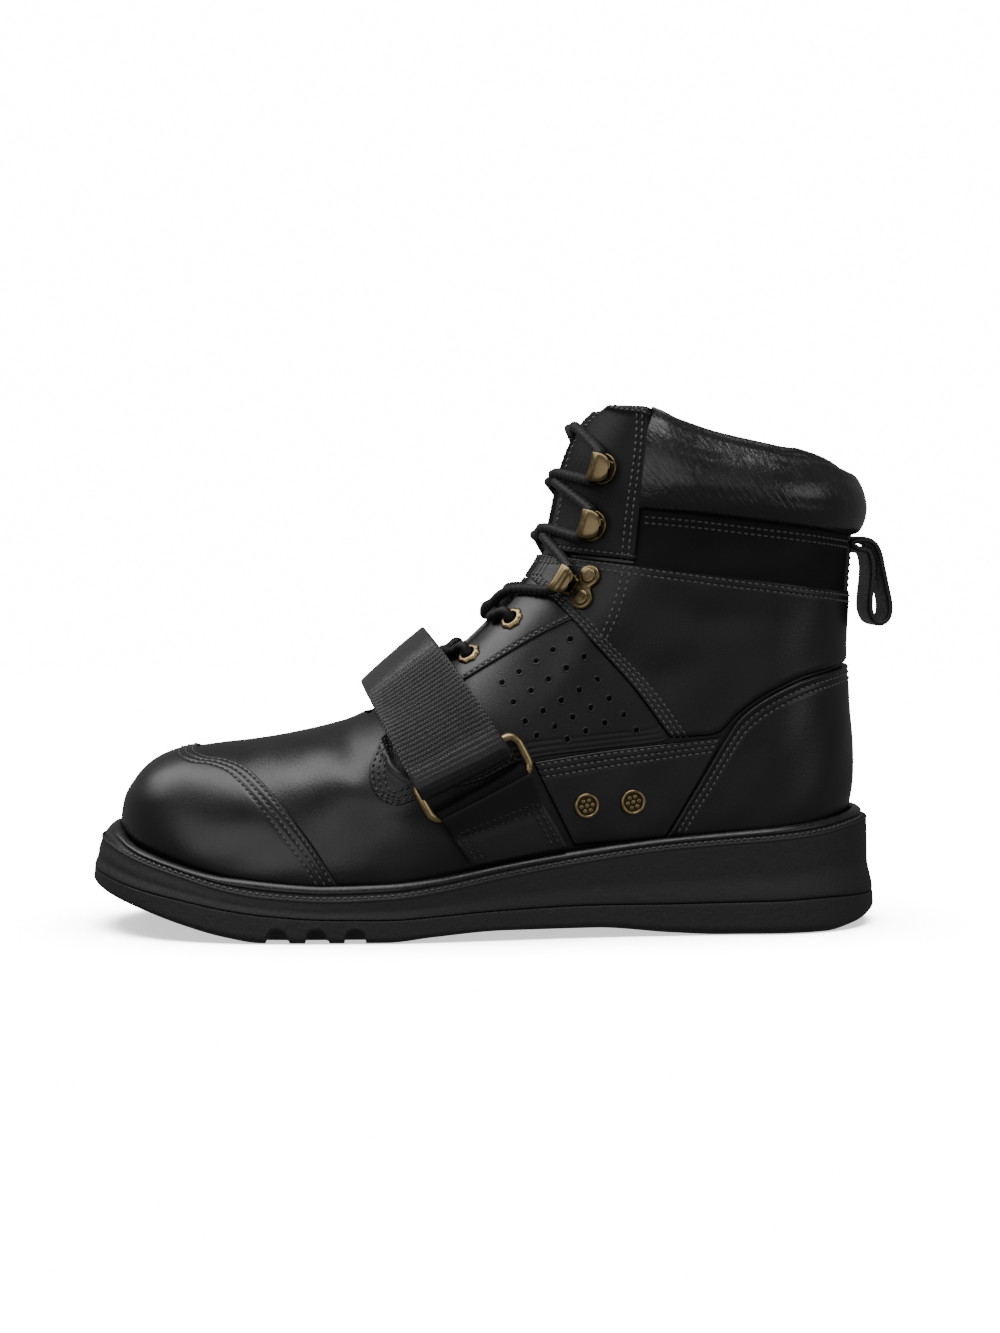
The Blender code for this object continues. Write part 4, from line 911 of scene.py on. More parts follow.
@once
def webbing(name, pitch, strength, ribs=None):
    """Woven strap: ribs along and across its own length and width in millimetres, multiplied together.

    Where ribs gives two distances from the middle the lattice shows between them only, and fine
    threads that run along the strap show all over.
    """
    colour = hue("webbing")
    made, tree, shader = blank(name, colour, 0.55, Sheen_Weight=0.2, Sheen_Roughness=0.4)
    where = knot(tree, "ShaderNodeUVMap", {"uv_map": "weave"}).outputs["UV"]

    def product(a, b):
        both = knot(tree, "ShaderNodeMath", {"operation": "MULTIPLY"})
        tree.links.new(a, both.inputs[0])
        tree.links.new(b, both.inputs[1])
        return both.outputs["Value"]

    turns = 2 * math.pi / 20
    waves = [
        knot(
            tree, "ShaderNodeTexWave", {"bands_direction": way}, Vector=where, Scale=turns / size,
            Distortion=0.25, Detail=2.0, Phase_Offset=math.pi / 2,
        ).outputs["Fac"]
        for way, size in (("X", pitch), ("Y", pitch * 0.58))
    ]
    height = product(*waves)
    if ribs:
        along = knot(tree, "ShaderNodeSeparateXYZ", Vector=where).outputs["X"]
        far = knot(tree, "ShaderNodeMath", {"operation": "ABSOLUTE"})
        tree.links.new(along, far.inputs[0])
        ends = [
            knot(
                tree, "ShaderNodeMapRange", Value=far.outputs["Value"], From_Min=first, From_Max=last,
                To_Min=0.0, To_Max=1.0,
            ).outputs["Result"]
            for first, last in ((ribs[0], ribs[0] + RIB_FADE), (ribs[1], ribs[1] - RIB_FADE))
        ]
        height = product(height, product(*ends))
    drawn = knot(tree, "ShaderNodeMapping", Vector=where, Scale=(0.14, 2.4, 1.0)).outputs["Vector"]
    # Painted shade and highlight: the colour follows the weave height, darker in the gaps and lighter on the
    # ribs
    tinted(tree, shader, colour, 0.5, height, 0.5, 0.08)
    bumped(tree, shader, (strength * 0.6, 0.0004, noise(tree, drawn, 1.0)), (strength, 0.0007, height))
    return made


@once
def fabric(name, colour, roughness, scale, sheen=0.2, shine=0.5):
    """Close cloth: fine noise for the threads over a slow drift of tone."""
    made, tree, shader = blank(
        name, colour, roughness, Sheen_Weight=sheen, Sheen_Roughness=0.5, Specular_IOR_Level=shine
    )
    where = by_place(tree)
    tinted(tree, shader, colour, roughness, noise(tree, where, 70.0), 0.3, 0.05)
    bumped(tree, shader, (0.3, 0.0003, noise(tree, where, scale)))
    return made


def thread(tone=1.0):
    return fabric(f"waxed_thread_{round(tone * 100)}", hue("thread", tone), 0.42, 3200.0, 0.1)


def fold_black():
    """Painted shade: dull black leather on the fold of each tab round the lower bar, standing in for the
    shadow of the strap's end, where the fold never meets the light.
    """
    return fabric("fold_black", (0.0025, 0.0025, 0.0026), 0.75, 1600.0, 0.0, 0.15)


def hole_black():
    """Painted shade: a near-black disc for the inside of a hole, where hardly any light comes out."""
    return plain("hole_black", (0.002, 0.002, 0.002), 0.9, Specular_IOR_Level=0.1)


def feather(s):
    """Feather edge seen from above at each s, and its outward normal."""
    step = 0.016
    along = (last_point(0.0, s + step) - last_point(0.0, s - step))[..., :2]
    normal = unit(stacked(-along[..., 1], along[..., 0]))
    return last_point(0.0, s)[..., :2], normal


def sole_edge(column, s):
    return look_up(SOLE_EDGES, "x", column, last_point(0.0, s)[..., 0])


def sole_line(column, x):
    return look_up(SOLE_LINES, "x", column, x)


def groove(x):
    """Height of the three half-round grooves that run across under the forefoot."""
    radius = GROOVE_WIDTH / 2
    rise = np.zeros(np.shape(x))
    for station in GROOVE_STATIONS:
        inside = radius**2 - (x - station) ** 2
        rise = np.where(inside > 0, GROOVE_HEIGHT - radius + np.sqrt(np.maximum(inside, 0.0)), rise)
    return rise


def sole_columns():
    """The s of the columns along one side, from the tip to the heel, with close ones at the grooves."""
    half = np.linspace(0.0, 1.0, 241)
    x = last_point(0.0, -half)[:, 0]
    extra = []
    for station in GROOVE_STATIONS:
        for step in np.cos(np.linspace(0.0, np.pi, 13)):
            extra.append(station + step * GROOVE_WIDTH / 2)
        extra += [station - GROOVE_WIDTH / 2 - 0.12, station + GROOVE_WIDTH / 2 + 0.12]
    return np.unique(np.concatenate([half, np.interp(extra, x, half)]))


def sole_row(s, out, height):
    """Ring round the sole at a distance out from the feather edge, at a height that depends on x."""
    ring, normal = feather(s)
    plan = ring + normal * np.broadcast_to(out, s.shape)[..., None]
    return np.concatenate([plan, height(plan[:, 0])[:, None]], axis=-1)


def across(row, height, count, upward):
    """Surface across a ring, ruled between like points of its two sides."""
    half = len(row) // 2
    j = np.arange(half + 1)
    f = (1 - np.cos(np.linspace(0.0, np.pi, count + 1)))[None, :, None] / 2
    points = row[half - j][:, None] * (1 - f) + row[(half + j) % len(row)][:, None] * f
    points[..., 2] = height(points[..., 0], points[..., 1])
    return points.reshape(-1, 3), grid_quads(half + 1, count + 1, flip=not upward)


def round_ring(half):
    return np.concatenate([-half[::-1], half[1:-1]])


OUTSOLE_SECTION = table(
    "down inset",
    (0.0, 0.9), (0.012, 0.6), (0.03, 0.42), (0.06, 0.34), (0.2, 0.25), (0.4, 0.15), (0.6, 0.05), (0.74, 0.0),
    (0.86, 0.25), (0.94, 1.0), (0.98, 2.0), (1.0, 3.4),
)


OUTSIDE = 99.0


class BOOT_OT_outsole(bpy.types.Operator):
    """Lower rubber layer: rings of a bulging section, closed across, with grooves cut up from the ground"""

    bl_idname = "boot.outsole"
    bl_label = "Outsole"

    def execute(self, context):
        s = round_ring(sole_columns())
        out = sole_edge("tread", s)

        def ground(x, y=OUTSIDE):
            deep = ease((np.abs(y - midline(x)) - GROOVE_WALL) / 2.0)
            return sole_line("ground", x) + groove(x) * deep

        rows = []
        for down in np.concatenate([[0.0, 0.012, 0.03], np.linspace(0.06, 1.0, 17)]):
            inset = look_up(OUTSOLE_SECTION, "down", "inset", down)

            def height(x, down=down):
                top = sole_line("joint", x) - JOINT_GAP
                return top + (ground(x) - top) * down

            rows.append(sole_row(s, out - inset, height))
        side = banded(rows, flip=True)
        top = across(rows[0], lambda x, y: sole_line("joint", x) - JOINT_GAP, 2, True)
        mesh = joined([side, top, across(rows[-1], ground, 28, False)])
        finish = rubber("tread_rubber", 0.55, 1500.0)
        add_piece("outsole_rubber", *mesh, [finish], ["outsole"], "outsole_rubber", sharp=40.0)
        return {"FINISHED"}


MIDSOLE_LEVELS = np.concatenate(
    [[0.0, 0.015, 0.04, 0.08], np.linspace(0.14, 0.86, 14), [0.92, 0.96, 0.985, 1.0]]
)
WAIST_LEVEL = 0.45


class BOOT_OT_midsole(bpy.types.Operator):
    """Wedge layer: rings from the joint up to the seat, waisted between, with rounded edges"""

    bl_idname = "boot.midsole"
    bl_label = "Midsole"

    def execute(self, context):
        s = round_ring(np.linspace(0.0, 1.0, 241))
        low, waist, high = (sole_edge(column, s) for column in ("tread", "waist", "welt"))
        low, high = low - JOINT_INSET, high - SEAT_INSET
        rows = []
        for up in MIDSOLE_LEVELS:
            if up < WAIST_LEVEL:
                out = low + (waist - low) * ease(up / WAIST_LEVEL)
            else:
                out = waist + (high - waist) * ease((up - WAIST_LEVEL) / (1 - WAIST_LEVEL))
            out = out - 0.5 * max(0.0, 1 - min(up, 1 - up) / 0.03) ** 2

            def height(x, up=up):
                foot = sole_line("joint", x) + JOINT_GAP
                return foot + (seat(x) - foot) * up

            rows.append(sole_row(s, out, height))
        side = banded(rows)
        bottom = across(rows[0], lambda x, y: sole_line("joint", x) + JOINT_GAP, 2, False)
        mesh = joined([side, bottom, across(rows[-1], lambda x, y: seat(x), 2, True)])
        finish = rubber("midsole_grain", 0.6, 900.0)
        add_piece("midsole_rubber", *mesh, [finish], ["midsole"], "midsole_rubber", sharp=60.0)
        return {"FINISHED"}


WELT_SECTION = table(
    "out up tip",
    (0.30, -1.0, 0.30), (0.94, -1.0, 0.94), (0.985, -0.7, 0.985), (1.0, -0.2, 1.0), (0.995, 0.2, 0.995),
    (0.97, 0.5, 0.97), (0.93, 0.62, 0.94), (0.89, 0.5, 0.92), (0.86, 0.35, 0.905), (0.83, 0.45, 0.89),
    (0.79, 0.8, 0.87), (0.75, 1.2, 0.83), (0.715, 1.5, 0.79), (0.72, 1.75, 0.755), (0.755, 1.95, 0.725),
    (0.775, 2.25, 0.68), (0.765, 2.6, 0.625), (0.735, 2.95, 0.56), (0.695, 3.3, 0.5), (0.65, 3.6, 0.44),
    (0.60, 3.85, 0.385), (0.55, 4.02, 0.34), (0.50, 4.1, 0.3), (0.455, 4.05, 0.27), (0.41, 3.8, 0.25),
    (0.37, 3.2, 0.24), (0.34, 2.2, 0.23),
)
LIP_RISE = table(
    "x rise",
    (-20.0, 6.0), (4.0, 6.0), (8.0, 5.2), (11.0, 3.2), (14.0, 1.2), (19.0, 0.2), (34.0, -0.2), (48.0, 0.4),
    (64.0, 1.6), (99.0, 1.5), (154.0, 0.9), (230.0, 0.1), (294.0, 0.8), (320.0, 0.8),
)
WELT_STITCH = (0.785, 1.0)
WELT_BEAD_ROWS = 13


class BOOT_OT_welt(bpy.types.Operator):
    """Storm welt: one section with a stitch channel and a lip, carried round the feather edge"""

    bl_idname = "boot.welt"
    bl_label = "Welt"

    def execute(self, context):
        s = round_ring(np.linspace(0.0, 1.0, 241))
        wide = sole_edge("welt", s)
        tip = ease((15.0 - sole_row(s, wide, lambda x: 0 * x)[:, 0]) / 13.0)
        rows = []
        for row in WELT_SECTION:
            share = max(row["up"] - 0.3, 0.0) / 3.85

            def height(x, up=row["up"], share=share):
                return seat(x) + up + share * look_up(LIP_RISE, "x", "rise", x)

            rows.append(sole_row(s, wide * (row["out"] + (row["tip"] - row["out"]) * tip), height))
        rows.append(rows[0])
        points, quads = banded(rows)
        finishes = [rubber("midsole_grain", 0.6, 900.0), rubber("welt_lip_rubber", 0.3, 1100.0, 0.05)]
        finish = np.where(np.arange(len(quads)) // len(s) < WELT_BEAD_ROWS, 0, 1)
        add_piece("welt_rubber", points, quads, finishes, ["welt"], "welt_rubber", finish, sharp=70.0)
        share, up = WELT_STITCH
        line, rim = (sole_row(s, wide * out, lambda x: seat(x) + up) for out in (share, 1.0))
        normals = unit(unit(rim - line) + (0.0, 0.0, 1.0))
        line, normals = (np.concatenate([each, each[:1]]) for each in (line, normals))
        add_stitches("welt_stitching", [stitch_run(line, normals)], "welt_rubber")
        return {"FINISHED"}


class BOOT_OT_insole(bpy.types.Operator):
    """Insole: a dished surface across the feather edge on a thin closed edge"""

    bl_idname = "boot.insole"
    bl_label = "Insole"

    def execute(self, context):
        s = round_ring(np.linspace(0.0, 1.0, 101))
        rows = []
        for inset, up in INSOLE_EDGE:
            rows.append(sole_row(s, INSOLE_OUT - inset, lambda x, up=up: seat(x) + up))
        side = banded(rows)
        bottom = across(rows[0], lambda x, y: seat(x) + INSOLE_EDGE["up"][0], 2, False)
        top = across(rows[-1], lambda x, y: seat(x) + INSOLE_EDGE["up"][-1], 24, True)
        finish = fabric("insole_cloth_finish", hue("lining"), 0.85, 1500.0)
        add_piece("insole_cloth", *joined([side, bottom, top]), [finish], ["insole"], "insole_fabric")
        return {"FINISHED"}


class BOOT_OT_upper(bpy.types.Operator):
    """Hollow upper: the creased last and a like form 2 mm inside it, open at the lacing and the collar"""

    bl_idname = "boot.upper"
    bl_label = "Upper"

    def execute(self, context):
        low, high, many, few = 60, 79, 80, 20
        t = np.linspace(THROAT_START, 1.0, high + 1)[1:]
        t = np.concatenate([np.linspace(0.0, THROAT_START, low + 1), t])
        edge_s = throat_s(t)[:, None]
        w = np.linspace(0.0, 1.0, many, endpoint=False)[None]
        k = np.linspace(-1.0, 1.0, few, endpoint=False)[None]
        s = np.concatenate([-1 + (1 - edge_s) * w, edge_s * k, edge_s + (1 - edge_s) * w], axis=1)
        behind = ease((np.abs(s) - FACING_END_S) / 0.03)
        level = t[:, None] * (1 - WALL_DROP * behind * ease((t[:, None] - 0.6) / 0.4))
        outer, normal = skin(level, s)
        cells = np.ones((len(t) - 1, s.shape[1]), bool)
        cells[low:, many : many + few] = False
        points, quads, count = shell(outer, outer - normal * WALL, cells, wrap=True)
        finish = np.zeros(len(quads), int)
        finish[count : 2 * count] = 1
        middle = points[quads[:count]].mean(axis=1)
        seam = look_up(ANKLE_SEAM, "x", "z", middle[:, 0])
        finish[:count][(middle[:, 2] > seam - BAND_DROP) & (middle[:, 0] > BAND_FROM)] = 2
        finishes = [
            leather("vamp_leather", 0.36),
            fabric("lining_cloth", hue("lining"), 0.85, 1800.0),
            fabric("ankle_band_cloth", hue("band"), 0.7, 2200.0, 0.0, 0.3),
        ]
        add_piece("upper_leather", points, quads, finishes, ["upper"], "upper_leather", finish, weld=False)
        rows = []
        for side, _ in SIDES:
            for drop in (2.6, 5.0):
                where = edge(shifted(PAD_BOTTOM, -1.0, -drop), side, np.linspace(0.01, 0.97, 120))
                rows.append(stitch_run(*skin(where[:, 0], where[:, 1])))
        add_stitches("ankle_band_stitching", rows, "upper_leather")
        return {"FINISHED"}


class BOOT_OT_tongue(bpy.types.Operator):
    """Tongue: a padded shell under the lacing, fullest along its middle"""

    bl_idname = "boot.tongue"
    bl_label = "Tongue"

    def execute(self, context):
        t = np.linspace(TONGUE_START, 1.0, 110)[:, None]
        k = np.linspace(-1.0, 1.0, 61)[None]
        s = (throat_s(t) + TONGUE_MARGIN) * k
        level = np.broadcast_to(t, s.shape)
        points, normal = last_point(level, s), last_normal(level, s)
        full = TONGUE_SWELL * (1 - k**4) * np.ones_like(t)
        full = full - TONGUE_GROOVE * np.exp(-(((np.abs(k) - TONGUE_GROOVE_AT) / 0.05) ** 2))
        end = np.sqrt(np.clip((1 - t) / 0.012, 0.0, 1.0))
        thinned = (TONGUE_OUT - TONGUE_IN) / 2 * (1 - end)
        outer = points + normal * (TONGUE_OUT + full - thinned)[..., None]
        inner = points + normal * (TONGUE_IN + thinned * np.ones_like(k))[..., None]
        points, quads, _ = shell(outer, inner)
        finish = leather("tongue_leather_finish", 0.46, 1300.0, 0.14)
        piece = add_piece("tongue_pad", points, quads, [finish], ["tongue"], "tongue_leather")
        return {"FINISHED"}


OVER_RIDGE, ROUND_BACK = 0.0, 2.0
CORNER_RISE = 2.6


def around(rows, corner_x, way):
    """An edge in (t, s) from its outer corner over the ridge or round the back to its inner corner."""
    corner = table("x z", (corner_x, float(seat(corner_x)) + CORNER_RISE))
    rows = np.concatenate([rows[:-1], corner])
    outer, inner = edge(rows, OUTER, DENSE), edge(rows, INNER, DENSE)
    return np.concatenate([outer[::-1], inner[1:] - (0.0, way)])


def two_cornered(top, u, v):
    """Panel between an edge and the level line that joins its two ends."""
    bottom = np.linspace(top[0], top[-1], len(DENSE))
    top, bottom = spread(top, u), spread(bottom, u)
    left, right = np.repeat(top[:1], len(v), axis=0), np.repeat(top[-1:], len(v), axis=0)
    return Panel(bottom, top, left, right, u, v)


class BOOT_OT_toe_cap(bpy.types.Operator):
    """Toe cap: a panel over the toe with three rows of stitches along its edge"""

    bl_idname = "boot.toe_cap"
    bl_label = "Toe cap"

    def execute(self, context):
        top = around(TOE_CAP_EDGE, 97.4, OVER_RIDGE)
        u, v = np.linspace(0.0, 1.0, 190), steps(72.0, first=2.0, last=9.0)
        panel = two_cornered(top, u, v)
        panel.shape(HEIGHT["toe_cap"], ("top",), 0.9, ("bottom",), 6.0)
        panel.off -= 1.4 * np.exp(-(((u - 0.5) / 0.08) ** 2))[None] * ease(v / 0.5)[:, None]
        panel.sew("top", 1.7, 4.4, 7.1, start=4.0, end=4.0)
        finish = leather("toe_leather", 0.35, 1700.0, 0.07, 0.2)
        add_leather("toe_cap", panel, finish, "toe_cap_leather", 0.65)
        return {"FINISHED"}


class BOOT_OT_heel_counter(bpy.types.Operator):
    """Heel counter: a panel round the back of the heel with a raised, twice stitched edge"""

    bl_idname = "boot.heel_counter"
    bl_label = "Heel counter"

    def execute(self, context):
        top = around(COUNTER_EDGE, 222.4, ROUND_BACK)
        panel = two_cornered(top, np.linspace(0.0, 1.0, 200), steps(70.0, first=2.0, last=9.0))
        panel.shape(HEIGHT["heel_counter"], ("top",), 0.9, ("bottom",), 6.0)
        panel.off += 0.5 * np.exp(-(((panel.far["top"] - 1.2) / 1.0) ** 2)) * ease(panel.far["bottom"] / 8.0)
        panel.sew("top", 3.4, 6.0, start=4.0, end=4.0)
        finish = leather("counter_leather", 0.4, 1500.0, 0.1, 0.1)
        add_leather("heel_counter", panel, finish, "heel_counter_leather")
        return {"FINISHED"}


def throat_line(t0, t1, side):
    """Edge of the lacing opening between two levels, in (t, s)."""
    t = np.linspace(t0, t1, 200)
    return stacked(t, side * throat_s(t))


def straight(a, b):
    return a + (b - a) * DENSE[:, None]


def four_sided(bottom, top, left, right, u, v):
    return Panel(spread(bottom, u), spread(top, u), spread(left, v), spread(right, v), u, v)


def sewn_line(rows, side, off):
    """Row of stitches along an outline in side view, on leather of a given height."""
    where = edge(rows, side, np.linspace(0.0, 1.0, 160))
    line, normals = skin(where[:, 0], where[:, 1])
    return stitch_run(line + normals * off, normals)


PERFORATIONS = table(
    "x0 z0 x1 z1 count",
    (186.3, 115.6, 159.9, 98.5, 5), (191.3, 109.0, 163.9, 91.3, 5), (196.4, 100.0, 168.0, 84.1, 5),
    (201.1, 92.6, 172.3, 78.6, 5), (206.6, 86.3, 184.5, 77.0, 4), (211.8, 80.2, 211.8, 80.2, 1),
)
HOLE_RIM = ((1.75, -0.2), (1.65, 0.05), (1.5, 0.16), (1.4, 0.16), (0.9, -0.06), (0.85, -0.2), (1.75, -0.2))
HOLE_MIDDLE = ((0.0, -0.3), (1.05, -0.3), (1.05, 0.02), (0.0, 0.02))


def perforations(side, off):
    """Rims of the punched holes, and discs of painted shade for their dark middles, as two meshes."""
    rims, holes = [], []
    for row in PERFORATIONS:
        for f in np.linspace(0.0, 1.0, int(row["count"])):
            x, z = row["x0"] + (row["x1"] - row["x0"]) * f, row["z0"] + (row["z1"] - row["z0"]) * f
            here = frame_at(x, z, side, off)
            rims.append(facing_out(turned(*here, HOLE_RIM, 20), side))
            holes.append(facing_out(turned(*here, HOLE_MIDDLE, 20), side))
    return joined(rims), joined(holes)


def frame_at(x, z, side, off):
    """Point off the skin with its normal and the directions back and up beside the lacing."""
    where = place(x, z, side)
    here, normal = skin(where[0], where[1])
    k = int(np.clip(np.argmin(np.hypot(RUN_X - x, RUN_Z - z)), 60, len(RUN) - 61))
    up = unit(np.array((RUN_X[k + 60] - RUN_X[k - 60], 0.0, RUN_Z[k + 60] - RUN_Z[k - 60])))
    back = unit(np.cross(up, normal) * -side)
    return here + normal * off, normal, back, unit(np.cross(normal, back) * -side)


class BOOT_OT_side_leather(bpy.types.Operator):
    """Foxing, side panel, eyestay, quarter and facing on both sides, each a panel between four edges"""

    bl_idname = "boot.side_leather"
    bl_label = "Side leather"

    def execute(self, context):
        for side, name in SIDES:
            self.foxing(side, name)
            self.side_panel(side, name)
            self.eyestay(side, name)
            self.quarter(side, name)
            self.facing(side, name)
        return {"FINISHED"}

    def foxing(self, side, name):
        top, left, right = (edge(rows, side, DENSE) for rows in (FOXING_TOP, FOXING_FRONT, FOXING_BACK))
        bottom = straight(left[0], right[0])
        panel = four_sided(bottom, top, left, right, steps(64.0), steps(40.0, first=1.0))
        panel.shape(HEIGHT["foxing"], ("top", "left"), 0.8, ("bottom",), 5.0)
        panel.sew("top", 1.7, 4.2, 6.7)
        add_leather(f"foxing_{name}", panel, leather("foxing_leather", 0.42))

    def side_panel(self, side, name):
        left = cut_at_throat(edge(PANEL_FRONT, side, DENSE))
        right = cut_at_throat(edge(shifted(DIAGONAL, -0.5, 0.0), side, DENSE))
        top = throat_line(left[-1, 0], right[-1, 0], side)
        panel = four_sided(edge(PANEL_BOTTOM, side, DENSE), top, left, right, steps(115.0), steps(62.0))
        panel.shape(HEIGHT["side_panel"], ("bottom", "top", "left"))
        panel.off += troughs(panel.base, PANEL_FOLDS)
        panel.sew("left", 1.8, 4.2, 6.6)
        panel.sew("bottom", 1.8, 4.2, 6.6, end=60.0)
        finish = leather("panel_leather", 0.43, 1600.0, 0.1)
        add_leather(f"side_panel_{name}", panel, finish, tone=0.4)
        rims, holes = perforations(side, HEIGHT["side_panel"])
        add_piece(f"perforation_rims_{name}", *rims, [finish], (), "upper_leather")
        # Painted shade: near-black discs in the middles of the holes
        add_piece(f"perforations_{name}", *holes, [hole_black()], (), "upper_leather")

    def eyestay(self, side, name):
        bottom = edge(EYESTAY_EDGE, side, DENSE)
        left, right = (cut_at_throat(edge(rows, side, DENSE)) for rows in (EYESTAY_FRONT, EYESTAY_BACK))
        top = throat_line(left[-1, 0], right[-1, 0], side)
        panel = four_sided(bottom, top, left, right, steps(72.0), steps(24.0, first=5.0, last=4.0))
        panel.shape(HEIGHT["eyestay"], ("bottom", "top"))
        panel.sew("bottom", 1.8)
        finish = leather("eyestay_leather", 0.34, 1700.0, 0.08)
        add_leather(f"eyestay_{name}", panel, finish, solid=False)

    def quarter(self, side, name):
        top = cut_at_strip(cut_at_throat(edge(shifted(ANKLE_SEAM, 0.0, -0.4), side, DENSE)[::-1])[::-1])
        rise = cut_at_throat(edge(DIAGONAL, side, DENSE))
        left = np.concatenate([rise, throat_line(rise[-1, 0], top[0, 0], side)[1:]])
        bottom = cut_at_strip(edge(QUARTER_BOTTOM, side, DENSE))
        t = np.linspace(bottom[-1, 0], top[-1, 0], 100)
        right = stacked(t, side * strip_s(t))
        panel = four_sided(bottom, top, left, right, steps(110.0), steps(56.0))
        panel.shape(HEIGHT["quarter"], ("top", "left"), 0.8, ("bottom",), 3.0)
        panel.sew("top", 1.8, 4.3)
        panel.sew("left", 1.8, 4.3, 6.8, end=10.0)
        add_leather(f"quarter_{name}", panel, leather("quarter_leather", 0.45))
        rows = [sewn_line(shifted(QUARTER_SEAM, dx, 0.0), side, HEIGHT["quarter"]) for dx in (0.0, 2.6)]
        add_stitches(f"quarter_{name}_seam", rows, "upper_leather")

    def facing(self, side, name):
        seam = cut_at_throat(edge(shifted(ANKLE_SEAM, 0.0, 0.4), side, DENSE)[::-1])[::-1]
        back = edge(FACING_BACK, side, DENSE)
        back = back[: int(np.argmax(back[:, 0] > 0.9995)) + 1]
        behind = int(np.argmin(np.linalg.norm(seam - back[0], axis=1)))
        bottom = np.concatenate([seam[:behind], back[:1]])
        left = throat_line(bottom[0, 0], 1.0, side)
        top = straight(left[-1], back[-1])
        panel = four_sided(bottom, top, left, back, steps(30.0, first=5.0), steps(60.0))
        panel.shape(HEIGHT["facing"], ("left", "right", "top", "bottom"))
        panel.off += 0.7 * np.exp(-(((panel.far["top"] - 2.2) / 1.6) ** 2))
        panel.sew("right", 3.0, 5.4)
        panel.sew("bottom", 2.0)
        panel.sew("top", 2.4)
        panel.sew("left", 2.2)
        add_leather(f"facing_{name}", panel, leather("facing_leather", 0.5, coat=0.02, shine=0.25))


class BOOT_OT_back_strip(bpy.types.Operator):
    """Strip up the back seam, between the counter and the collar pad"""

    bl_idname = "boot.back_strip"
    bl_label = "Back strip"

    def execute(self, context):
        low, high = place(301.0, BACK_STRIP_LOW, INNER)[0], place(301.5, BACK_STRIP_HIGH, INNER)[0]
        t = np.linspace(low, high, 100)
        left = stacked(t, strip_s(t) + BACK_STRIP_CLEAR)
        right = stacked(t, 2 - strip_s(t) - BACK_STRIP_CLEAR)
        bottom, top = straight(left[0], right[0]), straight(left[-1], right[-1])
        panel = four_sided(bottom, top, left, right, steps(24.0, first=5.0, last=5.0), steps(48.0))
        panel.shape(HEIGHT["back_strip"], ("left", "right"))
        panel.sew("left", 1.8)
        panel.sew("right", 1.8)
        add_leather("back_strip", panel, leather("strip_leather", 0.48))
        return {"FINISHED"}


PAD_SECTION = table(
    "share off",
    (0.0, 0.6), (0.03, 3.2), (0.08, 4.6), (0.16, 5.7), (0.28, 6.6), (0.38, 6.8), (0.48, 6.4), (0.58, 5.6),
    (0.68, 4.4), (0.78, 2.7), (0.88, 0.2), (0.97, -2.6),
)
PAD_CREST, PAD_INSIDE, PAD_TOP_RISE = 0.97, -8.6, 3.4
PAD_SLOT_LOW, PAD_SLOT_TOP, PAD_CLEAR = 0.3, 0.5, 0.4
PAD_FRONT_LOW, PAD_FRONT_RISE = 166.0, 41.0
PAD_BACK_LOW, PAD_BACK_RISE = 158.0, 22.0
PAD_FULL_FROM, PAD_FULL_RUN, PAD_FULL_RISE = 267.0, 35.0, 6.0
# Shares of its lean, swell and rise that the pad has at its front end, and how far back it gets to all of it
PAD_FRONT_SHARES, PAD_GROWS_OVER = (0.36, 0.62, 0.7), 0.22


